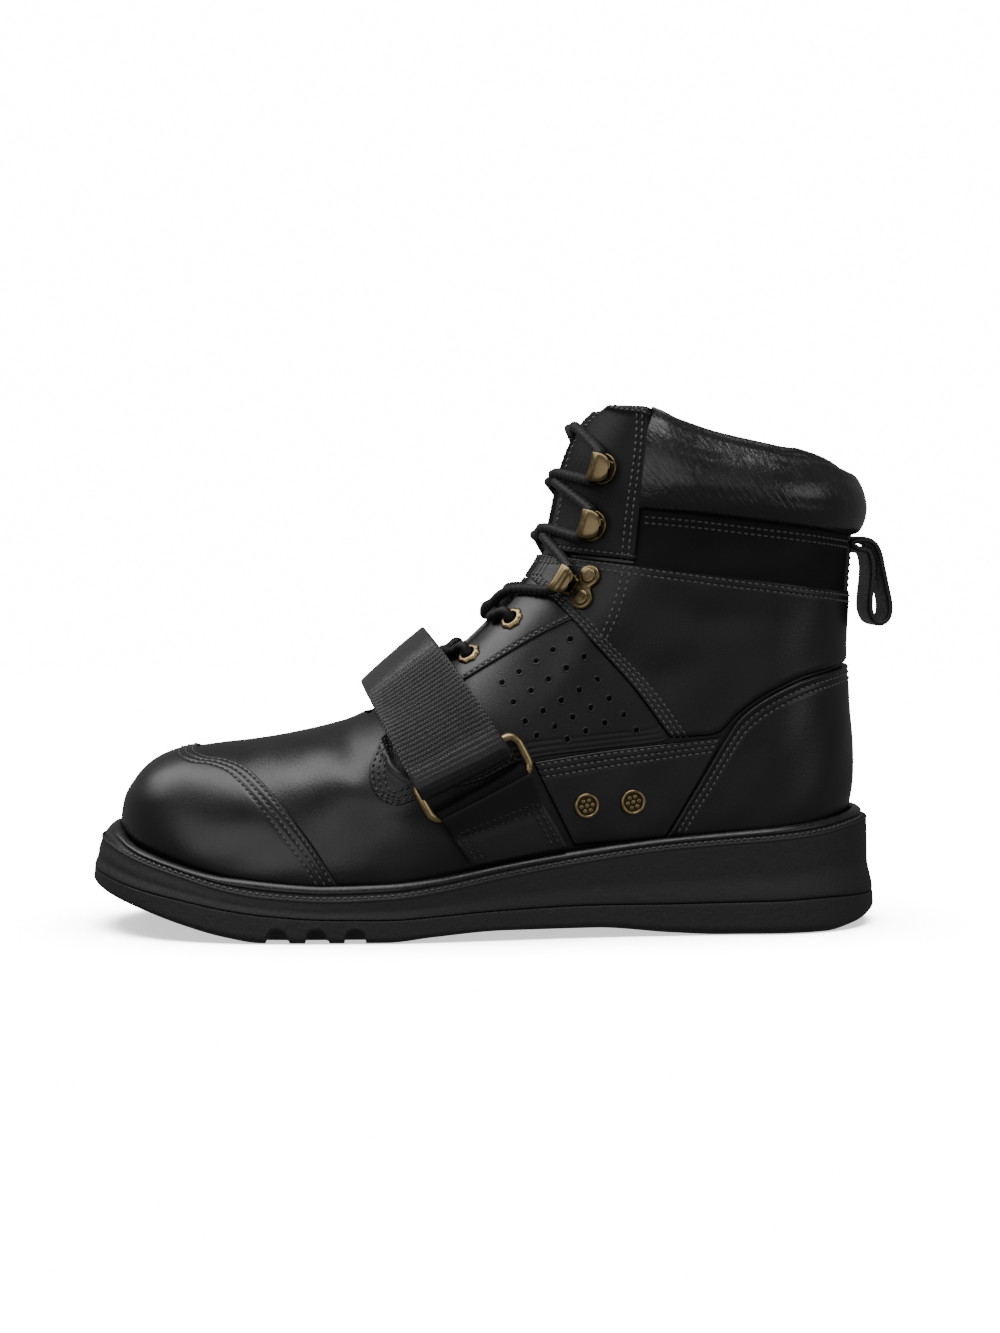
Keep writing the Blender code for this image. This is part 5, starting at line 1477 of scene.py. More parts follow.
class BOOT_OT_collar_pad(bpy.types.Operator):
    """Padded collar: a cushion section that hangs over the top of the wall, carried round the shaft"""

    bl_idname = "boot.collar_pad"
    bl_label = "Collar pad"

    def execute(self, context):
        rows = self.section()
        turn = (1 - np.cos(np.linspace(0.0, np.pi, 111))) / 2
        v = rows[:, :1]
        front = np.interp(PAD_FRONT_LOW + PAD_FRONT_RISE * v, FACING_BACK["z"], FACING_BACK["x"]) - 0.5
        x = front + (back_x(PAD_BACK_LOW + PAD_BACK_RISE * v) - front) * turn[None]
        low, high = look_up(PAD_BOTTOM, "x", "z", x), look_up(TOP_LINE, "x", "z", x) - 0.2
        high = high + PAD_FULL_RISE * ease((x - PAD_FULL_FROM) / PAD_FULL_RUN)
        z = low + (high - low) * v
        swell = ease(turn / PAD_GROWS_OVER)[None]
        leaning, swollen, risen = (share + (1 - share) * swell for share in PAD_FRONT_SHARES)
        halves = []
        for side, _ in SIDES:
            points, normal = on_last(place(x, z, side))
            folds = troughs(points, PAD_FOLDS) * context.scene.boot_sizes.fold_depth
            lean = np.where(rows[:, 1:2] < 0, rows[:, 1:2] * leaning, rows[:, 1:2])
            off = lean + (rows[:, 2:3] + folds * (rows[:, 2:3] > 1.0)) * swollen
            points = points + normal * off[..., None]
            points[..., 2] += rows[:, 3:4] * risen
            halves.append(points)
        grid = np.concatenate([halves[0][:, :-3], halves[0][:, -1:], halves[1][:, -4::-1]], axis=1)
        count, columns = grid.shape[:2]
        grid = np.concatenate([grid, grid[:1]])
        quads = grid_quads(count + 1, columns, flip=True)
        ends = [self.end_cap(count, columns, 0), self.end_cap(count, columns, columns - 1)[:, ::-1]]
        quads = np.concatenate([quads, *ends])
        finish = tumbled_leather("tumbled_leather")
        points = grid.reshape(-1, 3)
        piece = add_piece(
            "collar_pad_leather", points, quads, [finish], ["collar_pad"], "collar_leather", sharp=70.0
        )
        return {"FINISHED"}

    @staticmethod
    def section():
        """Rows of (height share, distance from the wall, swell, rise), round the section and back."""
        v = PAD_CREST * np.linspace(0.0, 1.0, 40) ** 1.3
        off = look_up(PAD_SECTION, "share", "off", v)
        outside = stacked(v, PAD_CLEAR + np.minimum(off, 0.0), np.maximum(off, 0.0), 0 * v)
        angle = np.linspace(0.0, np.pi, 14)[1:-1]
        crest = PAD_CLEAR + off[-1]
        wide = (crest + PAD_INSIDE) / 2 + (crest - PAD_INSIDE) / 2 * np.cos(angle)
        over = stacked(PAD_CREST + 0 * angle, wide, 0 * angle, PAD_TOP_RISE * np.sin(angle))
        w = np.linspace(PAD_CREST, PAD_SLOT_LOW, 18)
        inward = ((PAD_CREST - w) / (PAD_CREST - PAD_SLOT_LOW)) ** 2
        inside = stacked(w, PAD_INSIDE + (-WALL - 1.4 - PAD_INSIDE) * inward, 0 * w, 0 * w)
        up = np.linspace(PAD_SLOT_LOW, PAD_SLOT_TOP, 8)
        under = stacked(up, np.full(len(up), -WALL - 0.1), 0 * up, 0 * up)
        down = np.linspace(PAD_SLOT_TOP, 0.0, 8)
        beside = stacked(down, np.full(len(down), 0.1), 0 * down, 0 * down)
        return np.concatenate([outside, over, inside, under, beside])

    @staticmethod
    def end_cap(count, columns, column):
        """Quads across the section at one end, between like points of its two long sides."""
        i = np.arange(count // 2 - 1)
        return stacked(i, i + 1, count - 2 - i, count - 1 - i) * columns + column


class BOOT_OT_pull_loop(bpy.types.Operator):
    """Pull loop: a flat band with rounded edges carried round a closed route"""

    bl_idname = "boot.pull_loop"
    bl_label = "Pull loop"

    def execute(self, context):
        knots = stacked(LOOP_ROUTE["x"], LOOP_ROUTE["z"])
        route = through(np.concatenate([knots[-2:], knots, knots[:3]]), 14)[28 : -28]
        route = spread(route, np.linspace(0.0, 1.0, 180))[:-1]
        ahead = unit(np.roll(route, -1, axis=0) - np.roll(route, 1, axis=0))
        out = stacked(-ahead[:, 1], ahead[:, 0])
        turn = around_once(40)
        flat = np.sign(np.cos(turn)) * np.abs(np.cos(turn)) ** 0.35 * LOOP_WIDTH / 2
        thick = np.sign(np.sin(turn)) * np.abs(np.sin(turn)) ** 0.6 * LOOP_THICKNESS / 2
        place_2d = route[:, None] + out[:, None] * thick[None, :, None]
        y = np.broadcast_to(flat[None], place_2d.shape[:2])
        points = stacked(place_2d[..., 0], y, place_2d[..., 1])
        points = np.concatenate([points, points[:1]])
        run = np.concatenate([lengths(route), [lengths(route)[-1] + 0.5]])
        weave = stacked(*np.broadcast_arrays(run[:, None], flat[None])).reshape(-1, 2)
        band = banded(points, flip=True)
        finish = webbing("loop_webbing", 0.8, 0.2)
        add_piece("pull_loop_webbing", *band, [finish], ["pull_loop"], "webbing", weave=weave, sharp=70.0)
        return {"FINISHED"}


def bar_point(bar, along):
    """Side view point on the upper (1) or lower (-1) bar of the ring, from its middle."""
    ax, az = RING_ALONG
    high = bar * RING_HALF_HEIGHT
    x = RING_CENTRE[0] - high * az + along * ax
    return stacked(x, RING_CENTRE[1] + high * ax + along * az)


def off_last(x, z, side, off):
    """Points off the plain last at side view points."""
    points, normal = on_last(place(x, z, side))
    return points + normal * np.broadcast_to(off, points.shape[:-1])[..., None]


def sheet_shell(sheet, thickness):
    """Closed shell of even thickness about a sheet of points, thinned along its edges."""
    normal = unit(np.cross(np.gradient(sheet, axis=0), np.gradient(sheet, axis=1)))
    half = np.broadcast_to(np.asarray(thickness, float) / 2, sheet.shape[:2])[..., None]
    return shell(sheet + normal * half, sheet - normal * half)


class BOOT_OT_strap(bpy.types.Operator):
    """Strap: thread lines from ring to ring over the instep, folded round both bars, with woven ribs"""

    bl_idname = "boot.strap"
    bl_label = "Strap"

    def execute(self, context):
        ax, az = RING_ALONG
        turn = np.radians(STRAP_FOLD_TURNS)
        past = np.concatenate([STRAP_TAIL, -STRAP_DROP * np.sin(turn)])[:, None]
        off = np.concatenate([STRAP_TAIL_OFF, RING_OFF - FOLD * np.cos(turn)])[:, None]
        across_mm = np.linspace(-STRAP_WIDTH / 2, STRAP_WIDTH / 2, 41)
        bar = bar_point(1, across_mm + STRAP_SHIFT)
        ridge_x = STRAP_RIDGE + across_mm * 0.8
        top = stacked(ridge_x, ridge_z(ridge_x) - 0.02)
        arch = look_up(STRAP_ARCH, "across", "rise", across_mm / (STRAP_WIDTH / 2))
        share = STRAP_ROUTE["share"][:, None]
        lift = STRAP_ROUTE["off"][:, None] + STRAP_ROUTE["arch"][:, None] * arch[None]
        halves = []
        for side, _ in SIDES:
            folded = off_last(bar[:, 0] - past * az, bar[:, 1] + past * ax, side, off)
            route = bar[None] + (top - bar)[None] * share[..., None]
            halves.append(np.concatenate([folded, off_last(route[..., 0], route[..., 1], side, lift)]))
        crown = off_last(top[:, 0], top[:, 1], OUTER, STRAP_TOP + arch)
        crown[:, 1] = midline(top[:, 0])
        lines = through(np.concatenate([halves[0], crown[None], halves[1][::-1]]), 12)
        length = lengths(lines[:, 20])
        pitch = context.scene.boot_sizes.strap_rib / MM
        rows = np.linspace(0.0, 1.0, int(length[-1] / pitch * 5))
        at = rows * length[-1]
        k = np.clip(np.searchsorted(length, at, side="right") - 1, 0, len(length) - 2)
        f = ((at - length[k]) / (length[k + 1] - length[k]))[:, None, None]
        sheet = lines[k] * (1 - f) + lines[k + 1] * f
        from_top = np.abs(at - length[-1] / 2)
        strong = ease((from_top - STRAP_RIBS[0]) / RIB_FADE) * ease((STRAP_RIBS[1] - from_top) / RIB_FADE)
        strong = np.maximum(strong, 0.3 * ease((from_top - STRAP_RIBS[1] + RIB_FADE) / 6.0))
        rib = 0.55 * ((np.cos(2 * np.pi * (at - length[-1] / 2) / pitch) - 1) * strong)[:, None]
        rib = rib * (1 - (across_mm / (STRAP_WIDTH / 2)) ** 8)[None]
        edge_thin = np.sqrt(np.clip((STRAP_WIDTH / 2 - np.abs(across_mm)) / 0.9 + 0.25, 0.0, 1.0))[None]
        points, quads, _ = sheet_shell(sheet, (STRAP_THICKNESS + rib) * edge_thin)
        weave = stacked(*np.broadcast_arrays(at[:, None] - length[-1] / 2, across_mm[None]))
        weave = np.concatenate([weave, weave]).reshape(-1, 2)
        finish = webbing("strap_weave", pitch, 0.9, STRAP_RIBS)
        add_piece("strap_webbing", points, quads, [finish], ["strap"], "webbing", weave=weave, sharp=70.0)
        return {"FINISHED"}


class BOOT_OT_strap_rings(bpy.types.Operator):
    """Rings: round wire along a rounded rectangle that lies along the side of the boot"""

    bl_idname = "boot.strap_rings"
    bl_label = "Strap rings"

    def execute(self, context):
        turn = around_once(160)
        long, high = RING_HALF_LENGTH - RING_CORNER, RING_HALF_HEIGHT - RING_CORNER
        flat = stacked(
            long * np.clip(np.cos(turn) * 4, -1, 1) + RING_CORNER * np.cos(turn),
            high * np.clip(np.sin(turn) * 4, -1, 1) + RING_CORNER * np.sin(turn),
        )
        flat = spread(np.concatenate([flat, flat[:1]]), np.linspace(0.0, 1.0, 181))[:-1]
        ax, az = RING_ALONG
        x = RING_CENTRE[0] + flat[:, 0] * ax - flat[:, 1] * az
        z = RING_CENTRE[1] + flat[:, 0] * az + flat[:, 1] * ax
        for side, name in SIDES:
            route = off_last(x, z, side, RING_OFF)
            if side == INNER:
                route = route[::-1]
            ring = f"strap_ring_{name}"
            wire = tube(route, WIRE, 18, closed=True)
            add_piece(f"{ring}_wire", *wire, [brass("ring_brass", RING_TONE)], [ring], "antique_brass")
        return {"FINISHED"}


class BOOT_OT_strap_tabs(bpy.types.Operator):
    """Tabs: a strip of leather folded round the lower bar of each ring and sewn down at its foot"""

    bl_idname = "boot.strap_tabs"
    bl_label = "Strap tabs"

    def execute(self, context):
        bottom = stacked(TAB_FOOT["x"], TAB_FOOT["z"])
        top = bar_point(-1, np.array((-TAB_HALF_WIDTH, TAB_HALF_WIDTH)))
        length = float(np.linalg.norm((top - bottom).mean(axis=0)))
        turn = np.radians(np.linspace(-118.0, 118.0, 9))
        fold = stacked(length + FOLD * np.cos(turn), RING_OFF + FOLD * np.sin(turn))
        low, high = 0.5 + PLY / 2, 0.7 + 1.5 * PLY
        under = [(0.0, low), (length * 0.35, low), (length - 12.0, low)]
        over = [(length - 11.0, high), (length * 0.35, high), (0.0, high)]
        path = spread(through(np.array(under + fold.tolist() + over), 14), np.linspace(0.0, 1.0, 120))
        close = np.linspace(0.0, 0.06, 7), np.linspace(0.06, 0.94, 30), np.linspace(0.94, 1.0, 7)
        c = np.unique(np.concatenate(close))
        feet = bottom[0] + (bottom[1] - bottom[0]) * c[:, None]
        heads = top[0] + (top[1] - top[0]) * c[:, None]
        spot = feet[None] + (heads - feet)[None] * (path[:, 0] / length)[:, None, None]
        thin = np.sqrt(np.clip(np.minimum(c, 1 - c) / 0.03 + 0.1, 0.0, 1.0))[None]
        for side, name in SIDES:
            sheet = off_last(spot[..., 0], spot[..., 1], side, path[:, 1:2])
            if side == OUTER:
                sheet = sheet[:, ::-1]
            points, quads, _ = sheet_shell(sheet, PLY * thin)
            piece = f"strap_tab_{name}"
            row = quads[:, 0] % (len(path) * len(c)) // len(c)
            # Painted shade: the fold round the lower bar takes the near-black finish in place of the strap's
            # shadow
            finish = np.where(path[row, 0] > length + 0.4, 1, 0)
            finishes = [leather("tab_leather", 0.5, coat=0.0), fold_black()]
            add_piece(f"{piece}_leather", points, quads, finishes, [piece], "upper_leather", finish)
            rows = self.box_stitches(side, feet, heads, c, high + PLY / 2, length)
            add_stitches(f"{piece}_stitching", rows, "upper_leather", 0.25)
        return {"FINISHED"}

    @staticmethod
    def box_stitches(side, feet, heads, c, off, length):
        """Two rows of stitches in a U: up one side, across below the ring and down the other side."""
        rows = []
        for inset in (2.6, 5.2):
            near, high = inset / (2 * TAB_HALF_WIDTH), 1 - (inset + 8.0) / length
            box = np.array(((near, 0.04), (near, high), (1 - near, high), (1 - near, 0.04)))
            box = spread(box, DENSE)
            foot, head = points_at(box[:, 0], c, feet), points_at(box[:, 0], c, heads)
            spot = foot + (head - foot) * box[:, 1:]
            line = off_last(spot[:, 0], spot[:, 1], side, off)
            rows.append(stitch_run(line, line - off_last(spot[:, 0], spot[:, 1], side, off - 1.0)))
        return rows


LIP_OUTLINE = table("share half", (0.0, 3.4), (0.25, 4.3), (0.47, 4.9), (0.6, 5.5), (0.74, 5.6), (1.0, 5.6))
LIP_STRAIGHT, LIP_HOLLOW = 0.72, 1.0


def hook_strip(here, normal, back, up, curl_at, lip_end, nose):
    """Hook: a strip that lies on its base, curls over at the throat side and comes back as a lip.

    The lip's free end is round: its width falls as the cosine while its rows close up as the sine. The
    curl is hollow in the middle, so that its two corners stand forward.
    """
    turn = np.radians(np.linspace(270.0, 90.0, 13))
    up_curl = HOOK_SEAT + HOOK_THROAT * (1 + np.sin(turn))
    curl = stacked(curl_at + HOOK_THROAT * np.cos(turn), up_curl)
    flat = [(curl_at + 5.0, HOOK_SEAT), (curl_at + 2.0, HOOK_SEAT)] + curl.tolist()
    flat += [(curl_at + 2.0, 7.2), (lip_end - 1.5, 6.3), (lip_end, 5.6)]
    u = np.linspace(0.0, 1.0, 90)
    close = np.clip((u - LIP_STRAIGHT) / (1 - LIP_STRAIGHT), 0.0, 1.0) * np.pi / 2
    share = np.where(u < LIP_STRAIGHT, u, LIP_STRAIGHT + (1 - LIP_STRAIGHT) * np.sin(close))
    path = spread(through(np.array(flat), 10), share)
    wide = look_up(LIP_OUTLINE, "share", "half", share) * np.maximum(np.cos(close), 0.08) ** nose
    w = np.sin(np.linspace(-np.pi / 2, np.pi / 2, 25))
    dish = 0.5 * (w**4)[None] * ease((share - 0.6) / 0.15)[:, None]
    hollow = LIP_HOLLOW * (1 - w**2)[None] * np.exp(-(((share - 0.5) / 0.15) ** 2))[:, None]
    sheet = (
        here
        + (path[:, None, :1] + hollow[..., None]) * back
        + (path[:, None, 1:] - dish[..., None]) * normal
        + (wide[:, None] * w[None])[..., None] * up
    )
    thin = (0.45 + 0.55 * np.sqrt(1 - np.abs(w) ** 4))[None]
    points, quads, _ = sheet_shell(sheet, HOOK_SHEET * thin)
    return points, quads


def dome(here, normal, back, up, radius, height, base=0.0):
    """Rivet head: a low flat-topped dome with a rolled edge."""
    crown = ((1.0, 0.35), (0.97, 0.6), (0.9, 0.8), (0.78, 0.92), (0.5, 0.98), (0.0, 1.0))
    profile = [(0.0, base - 0.6), (radius, base - 0.6)] + [(radius * r, base + height * h) for r, h in crown]
    return turned(here, normal, back, up, profile, 32)


def lobed_plate(here, normal, back, up, lobes, radius, thickness):
    """Plate whose outline is the soft union of round lobes, as rings shrunk towards their middle."""
    turn = around_once(96)
    lobes = np.asarray(lobes, float)
    middle = lobes.mean(axis=0)
    reach = np.linspace(0.0, 16.0, 400)
    probe = middle + reach[None, :, None] * stacked(np.cos(turn), np.sin(turn))[:, None]
    field = np.exp(-((np.linalg.norm(probe[:, :, None] - lobes, axis=-1) / radius) ** 4)).sum(axis=-1)
    outline = reach[len(reach) - 1 - np.argmax((field > 0.36)[:, ::-1], axis=1)]
    rings = []
    heights = ((0.0, -0.4), (1.0, -0.4), (1.0, 0.55), (0.97, 0.85), (0.92, 1.0), (0.5, 1.0), (0.0, 1.0))
    for share, height in heights:
        flat = middle + (outline * share)[:, None] * stacked(np.cos(turn), np.sin(turn))
        rings.append(here + flat[:, :1] * back + flat[:, 1:] * up + height * thickness * normal)
    return banded(rings)


def facing_out(part, side):
    """Round pieces come out inside out on the outer side, so their quads are turned round there."""
    points, quads = part
    return (points, quads[:, ::-1]) if side == OUTER else part


PLATE_LOBES = ((-0.6, 0.0), (6.3, 6.9), (8.6, -2.0))


class BOOT_OT_hooks(bpy.types.Operator):
    """Lacing hooks: a lip over a round base, and on the lowest a plate with two rivets"""

    bl_idname = "boot.hooks"
    bl_label = "Lacing hooks"

    def execute(self, context):
        for side, name in SIDES:
            for n, row in enumerate(HOOKS):
                spot = frame_at(row["x"], row["z"], side, HOOK_BASE)
                here, _, back, up = spot
                parts = [hook_strip(*spot, row["curl"], row["lip"], row["nose"])]
                if n < 2:
                    parts.append(facing_out(dome(here + back * 1.5, *spot[1:], 6.2, 0.6), side))
                else:
                    parts.append(facing_out(lobed_plate(*spot, PLATE_LOBES, 4.5, 1.0), side))
                    for a, b in PLATE_LOBES[1:]:
                        rivet = dome(here + back * a + up * b, *spot[1:], 3.1, 1.0, 1.0)
                        parts.append(facing_out(rivet, side))
                hook = f"hook_{name}_{n + 1}"
                finish = brass("antique_brass_finish")
                add_piece(f"{hook}_brass", *joined(parts), [finish], [hook], "antique_brass", sharp=60.0)
        return {"FINISHED"}


EYELET_PROFILE = (
    (4.9, -0.4), (4.9, 0.3), (4.5, 0.8), (3.8, 1.1), (3.2, 1.15), (2.8, 0.95), (2.6, 0.5), (2.6, -0.4),
    (4.9, -0.4),
)
EYELET_HOLE = ((0.0, -0.5), (2.75, -0.5), (2.75, 0.12), (0.0, 0.1))
VENT_PROFILE = (
    (0.0, -0.6), (4.95, -0.6), (4.95, 0.7), (4.75, 1.15), (4.35, 1.35), (3.95, 1.25), (3.65, 0.9),
    (3.6, 0.5), (0.0, 0.5),
)
VENT_SHADE = ((0.0, 0.3), (3.62, 0.3), (3.62, 0.56), (0.0, 0.56))
VENT_BEADS, VENT_BEAD_REACH = 6, 2.25


class BOOT_OT_eyelets(bpy.types.Operator):
    """Eyelets: rolled rings with a toothed edge, each round a disc of painted shade for its dark hole"""

    bl_idname = "boot.eyelets"
    bl_label = "Eyelets"

    def execute(self, context):
        for side, name in SIDES:
            holes = []
            for n, row in enumerate(EYELETS):
                here = frame_at(row["x"], row["z"], side, EYELET_BASE)
                ring = facing_out(turned(*here, EYELET_PROFILE, 64, 0.05), side)
                eyelet = f"eyelet_{name}_{n + 1}"
                finish = brass("ring_brass", RING_TONE)
                add_piece(f"{eyelet}_brass", *ring, [finish], [eyelet], "antique_brass", sharp=60.0)
                # Painted shade: a near-black disc in each eyelet's hole
                holes.append(facing_out(turned(*here, EYELET_HOLE, 24), side))
            add_piece(f"eyelet_holes_{name}", *joined(holes), [hole_black()], (), "upper_leather")
        return {"FINISHED"}


class BOOT_OT_vents(bpy.types.Operator):
    """Vents: brass buttons with a rolled rim and a ring of small beads in a sunk middle, dark with patina and
    painted shade
    """

    bl_idname = "boot.vents"
    bl_label = "Vents"

    def execute(self, context):
        shades = []
        for n, row in enumerate(VENTS):
            spot = frame_at(row["x"], row["z"], OUTER, VENT_BASE)
            here, normal, back, up = spot
            parts = [turned(*spot, VENT_PROFILE, 48)]
            for k in range(VENT_BEADS + 1):
                reach = 0.0 if k == 0 else VENT_BEAD_REACH
                turn = k * np.pi / 3
                bead = here + reach * (math.cos(turn) * back + math.sin(turn) * up)
                parts.append(dome(bead, normal, back, up, 0.85, 0.5, 0.5))
            button = facing_out(joined(parts), OUTER)
            vent = f"vent_{n + 1}"
            finish = brass("vent_brass", 1.7)
            add_piece(f"{vent}_brass", *button, [finish], [vent], "antique_brass", sharp=60.0)
            # Patina and painted shade: a dark brass disc in the sunk middle of each button
            shades.append(facing_out(turned(*spot, VENT_SHADE, 40), OUTER))
        add_piece("vent_shades", *joined(shades), [patina_and_painted_shade()], (), "antique_brass")
        return {"FINISHED"}


def over_throat(z, column, off):
    """Point over the lacing opening at a height on the ridge, at a share of the way to its edge."""
    level = float(np.interp(z, RUN_Z, RUN))
    s = column * float(throat_s(level))
    return last_point(level, s) + last_normal(level, s) * off


def eyelet_stop(row, side):
    """Where the lace comes up through an eyelet and over the edge of the lacing opening."""
    here, normal, back, _ = frame_at(row["x"], row["z"], side, EYELET_BASE)
    stops = [here + normal * out - back * ahead for out, ahead in EYELET_STOPS]
    return stops + [over_throat(row["z"] - LACE_SAG, side, LACE_ON_EDGE)]


def hook_stop(row, side):
    """Where the lace passes behind the lip of a hook, from below to above."""
    here, normal, back, up = frame_at(row["x"], row["z"], side, HOOK_BASE)
    here = here + normal * (HOOK_SEAT + HOOK_THROAT) + back * (row["curl"] - 0.5)
    return [here - up * 5.6 - back * 1.4, here - up * 3.0, here + up * 3.0, here + up * 6.0 - back * 0.4]


def cross_over(side, start_z, end_z, over):
    """Knots of a strand across the lacing opening, from one edge down on to the tongue and up again."""
    columns = np.array((1.0, 0.5, 0.0, -0.5, -1.0)) * side
    offs = (LACE_ON_EDGE, over + 1.0, over, over + 1.0, LACE_ON_EDGE)
    return [over_throat(*stop) for stop in zip(np.linspace(start_z, end_z, 5), columns, offs)]


def lace_route(side):
    """Knots of one strand from its upper eyelet to its top hook, crossing over at each step."""
    over = LACE_UNDER if side == OUTER else LACE_OVER
    knots = eyelet_stop(EYELETS[0], side)
    knots += cross_over(side, EYELETS["z"][0] - LACE_SAG, HOOKS["z"][2] - 3.8, over)[1:]
    side = -side
    knots += hook_stop(HOOKS[2], side)
    for row in (HOOKS[1], HOOKS[0]):
        over = LACE_UNDER + LACE_OVER - over
        knots += cross_over(side, row["z"] - 6.3, row["z"] - 2.2, over)
        side = -side
        knots += hook_stop(row, side)
    return knots, side


class BOOT_OT_lace(bpy.types.Operator):
    """Lace: one round braided cord through the eyelets and hooks, joined by a bar over the top"""

    bl_idname = "boot.lace"
    bl_label = "Lace"

    def execute(self, context):
        one, end = lace_route(OUTER)
        other, _ = lace_route(INNER)
        top_z = HOOKS["z"][0] + LACE_TOP_RISE
        top = cross_over(end, top_z, top_z, LACE_TOP_OFF)
        low_z = EYELETS["z"][1] - LACE_SAG
        low = eyelet_stop(EYELETS[1], OUTER)
        low += cross_over(OUTER, low_z, low_z, LACE_LOW_OFF)[1:-1]
        low += eyelet_stop(EYELETS[1], INNER)[::-1]

        def braid(along, turn):
            way = 2 * np.pi * along / BRAID_PITCH
            return BRAID_RELIEF * np.maximum(np.cos(way + 3 * turn), np.cos(way - 3 * turn))

        radius = context.scene.boot_sizes.lace_diameter / MM / 2
        cords = []
        for knots in (one + top + other[::-1], low):
            route = through(np.array(knots), 10)
            route = spread(route, np.linspace(0.0, 1.0, int(lengths(route)[-1] / LACE_STEP)))
            cords.append(tube(route, radius, 16, relief=braid))
        finish = fabric("lace_cord_finish", hue("lace"), 0.55, 2600.0, 0.05, 0.35)
        add_piece("lace_braid", *joined(cords), [finish], ["lace"], "lace_cord", sharp=80.0)
        return {"FINISHED"}


CAMERA_AZIMUTH, CAMERA_ELEVATION, CAMERA_DISTANCE = -4.0, 3.0, 1050.0
CAMERA_TARGET = (161.41, 0.0, 103.3)
FLOOR_SIZE = 4.0
WHITE = (1.0, 1.0, 1.0, 1.0)
# Place and size of each softbox in metres
SOFTBOXES = (
    ("key", (-0.85, 0.2, 1.05), (0.8, 0.8)),
    ("top", (-0.15, -0.3, 1.4), (1.2, 0.8)),
    ("fill", (-0.75, -1.3, 0.3), (1.6, 0.8)),
    ("heel", (1.1, -1.0, 0.5), (0.9, 0.7)),
)
LIGHTS_AIM = (0.0, 0.0, 0.09)


class BOOT_OT_stage(bpy.types.Operator):
    """Pale floor with a painted contact shadow, soft studio lights and the camera"""

    bl_idname = "boot.stage"
    bl_label = "Stage"

    def execute(self, context):
        self.floor(context)
        self.world(context)
        stage = context.scene.boot_stage
        for name, place_m, size in SOFTBOXES:
            self.light(f"{name}_softbox", place_m, size, getattr(stage, f"{name}_power"))
        self.camera(context, stage.focal_length)
        return {"FINISHED"}

    @staticmethod
    def floor(context):
        mesh = bpy.data.meshes.new("floor")
        half = FLOOR_SIZE / 2
        corners = [(-half, -half, 0), (half, -half, 0), (half, half, 0), (-half, half, 0)]
        mesh.from_pydata(corners, [], [(0, 1, 2, 3)])
        floor = bpy.data.objects.new("floor", mesh)
        context.scene.collection.objects.link(floor)
        stage = context.scene.boot_stage
        pale, tree, shader = blank("pale_floor", tuple(stage.floor_colour), 0.8)
        shader.inputs["Emission Color"].default_value = WHITE
        # Painted shadow: the floor's glow falls from floor_glow to floor_shade where ambient occlusion finds
        # the boot close above
        open_sky = knot(tree, "ShaderNodeAmbientOcclusion", {"samples": 16}, Distance=0.06).outputs["AO"]
        glow = knot(
            tree, "ShaderNodeMapRange", Value=open_sky, From_Min=0.35, From_Max=0.95,
            To_Min=stage.floor_shade, To_Max=stage.floor_glow,
        )
        tree.links.new(glow.outputs["Result"], shader.inputs["Emission Strength"])
        mesh.materials.append(pale)
        floor.visible_glossy = False
        floor.visible_diffuse = False

    @staticmethod
    def world(context):
        world = bpy.data.worlds.new("studio")
        context.scene.world = world
        world.use_nodes = True
        tree = world.node_tree
        stage = context.scene.boot_stage
        seen = knot(tree, "ShaderNodeBackground", Color=WHITE, Strength=stage.floor_glow)
        soft = knot(tree, "ShaderNodeBackground", Color=WHITE, Strength=stage.world)
        ray = knot(tree, "ShaderNodeLightPath").outputs["Is Camera Ray"]
        mixed = knot(tree, "ShaderNodeMixShader", Fac=ray)
        tree.links.new(soft.outputs["Background"], mixed.inputs[1])
        tree.links.new(seen.outputs["Background"], mixed.inputs[2])
        tree.links.new(mixed.outputs["Shader"], tree.nodes["World Output"].inputs["Surface"])

    @staticmethod
    def light(name, place_m, size, power):
        lamp = bpy.data.lights.new(name, "AREA")
        lamp.shape = "RECTANGLE"
        lamp.size, lamp.size_y = size
        lamp.energy = power
        made = bpy.data.objects.new(name, lamp)
        bpy.context.scene.collection.objects.link(made)
        made.location = place_m
        made.rotation_euler = (Vector(LIGHTS_AIM) - Vector(place_m)).to_track_quat("-Z", "Y").to_euler()

    @staticmethod
    def camera(context, focal_length):
        camera = bpy.data.objects.new("camera", bpy.data.cameras.new("camera"))
        context.scene.collection.objects.link(camera)
        a, e = math.radians(CAMERA_AZIMUTH), math.radians(CAMERA_ELEVATION)
        back = np.array((math.sin(a) * math.cos(e), -math.cos(a) * math.cos(e), math.sin(e)))
        camera.location = to_row(np.array(CAMERA_TARGET) + back * CAMERA_DISTANCE)
        camera.rotation_euler = (-Vector(back)).to_track_quat("-Z", "Y").to_euler()
        camera.data.lens = focal_length
        camera.data.sensor_width = 36.0
        context.scene.camera = camera


def amount_of(name, description, default, **kind):
    return FloatProperty(name=name, description=description, default=default, **kind)


def length_of(name, description, default):
    return amount_of(name, description, default, min=0.0, unit="LENGTH", precision=5)


def colour_of(name, description, default):
    return FloatVectorProperty(
        name=name, description=description, default=default, size=3, min=0.0, max=1.0, subtype="COLOR"
    )


class BootSizes(bpy.types.PropertyGroup):
    stitch_pitch: length_of("Stitch pitch", "Distance from stitch to stitch", 0.0026)
    stitch_length: length_of("Stitch length", "Length of one stitch", 0.0019)
    stitch_radius: length_of("Stitch radius", "Half the thickness of the thread", 0.00045)
    lace_diameter: length_of("Lace diameter", "Thickness of the braided lace", 0.0039)
    strap_rib: length_of("Strap rib", "Distance between the woven ribs of the strap", 0.002)
    fold_depth: amount_of("Fold depth", "Scale of the folds in the collar pad", 0.5)


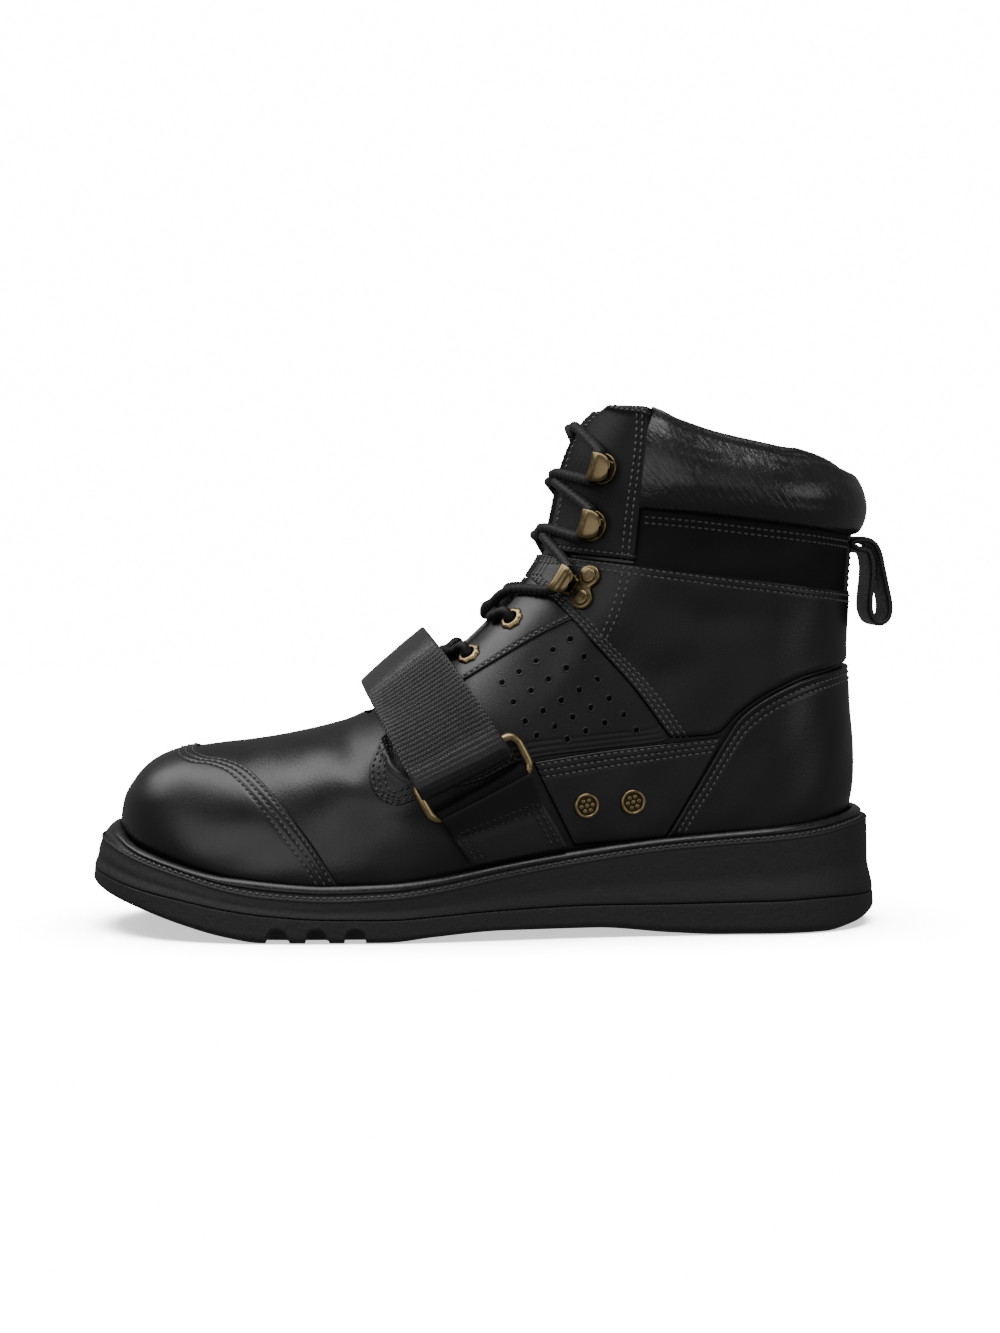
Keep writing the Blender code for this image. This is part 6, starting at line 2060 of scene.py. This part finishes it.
class BootColours(bpy.types.PropertyGroup):
    leather: colour_of("Leather", "Black leather of the upper", (0.006, 0.006, 0.0063))
    rubber: colour_of("Rubber", "Black rubber of the sole", (0.014, 0.014, 0.0145))
    lining: colour_of("Lining", "Cloth inside the boot", (0.02, 0.02, 0.021))
    band: colour_of("Ankle band", "Cloth band under the collar pad", (0.0025, 0.0025, 0.0027))
    webbing: colour_of("Webbing", "Strap and pull loop", (0.016, 0.016, 0.0163))
    lace: colour_of("Lace", "Braided lace", (0.003, 0.003, 0.0031))
    thread: colour_of("Thread", "Waxed sewing thread", (0.07, 0.07, 0.071))
    brass: colour_of("Brass", "Antique brass of the hardware", (0.185, 0.14, 0.074))


class BootStage(bpy.types.PropertyGroup):
    floor_colour: colour_of("Floor", "Colour of the pale floor", (0.9, 0.9, 0.9))
    floor_glow: amount_of("Floor glow", "Even light of floor and backdrop", 16.0, min=0.0)
    # Painted shadow: the glow of the floor close under the boot
    floor_shade: amount_of("Floor shade", "Light of the floor close under the boot", 0.9, min=0.0)
    world: amount_of("World", "Strength of the light from all round", 0.17, min=0.0)
    key_power: amount_of("Key", "Power of the soft light above the toe", 7.5, subtype="POWER")
    top_power: amount_of("Top", "Power of the light above", 13.0, subtype="POWER")
    fill_power: amount_of("Fill", "Power of the light beside the toe", 5.0, subtype="POWER")
    heel_power: amount_of("Heel", "Power of the light beside the heel", 3.0, subtype="POWER")
    focal_length: amount_of("Focal length", "Lens of the camera", 70.25, unit="CAMERA")


class BOOT_PT_panel(bpy.types.Panel):
    """Lists the pieces of the boot and what can be changed on them"""

    bl_idname = "BOOT_PT_panel"
    bl_label = "Roofing boot"
    bl_space_type = "VIEW_3D"
    bl_region_type = "UI"
    bl_category = "Boot"

    def draw(self, context):
        for settings in (context.scene.boot_sizes, context.scene.boot_colours, context.scene.boot_stage):
            box = self.layout.box()
            for key in settings.__annotations__:
                box.prop(settings, key)
        for operator in OPERATORS:
            self.layout.operator(operator.bl_idname)


GROUPS = (("boot_sizes", BootSizes), ("boot_colours", BootColours), ("boot_stage", BootStage))
OPERATORS = (
    BOOT_OT_outsole, BOOT_OT_midsole, BOOT_OT_welt, BOOT_OT_insole, BOOT_OT_upper, BOOT_OT_tongue,
    BOOT_OT_toe_cap, BOOT_OT_heel_counter, BOOT_OT_side_leather, BOOT_OT_back_strip, BOOT_OT_collar_pad,
    BOOT_OT_pull_loop, BOOT_OT_strap, BOOT_OT_strap_rings, BOOT_OT_strap_tabs, BOOT_OT_hooks, BOOT_OT_eyelets,
    BOOT_OT_vents, BOOT_OT_lace, BOOT_OT_stage,
)


def register():
    for name, group in GROUPS:
        bpy.utils.register_class(group)
        setattr(bpy.types.Scene, name, PointerProperty(type=group))
    for operator in OPERATORS:
        bpy.utils.register_class(operator)
    bpy.utils.register_class(BOOT_PT_panel)


def unregister():
    bpy.utils.unregister_class(BOOT_PT_panel)
    for operator in reversed(OPERATORS):
        bpy.utils.unregister_class(operator)
    for name, group in reversed(GROUPS):
        delattr(bpy.types.Scene, name)
        bpy.utils.unregister_class(group)


def main():
    register()
    for operator in OPERATORS:
        group, name = operator.bl_idname.split(".")
        getattr(getattr(bpy.ops, group), name)()


if __name__ == "__main__":
    main()
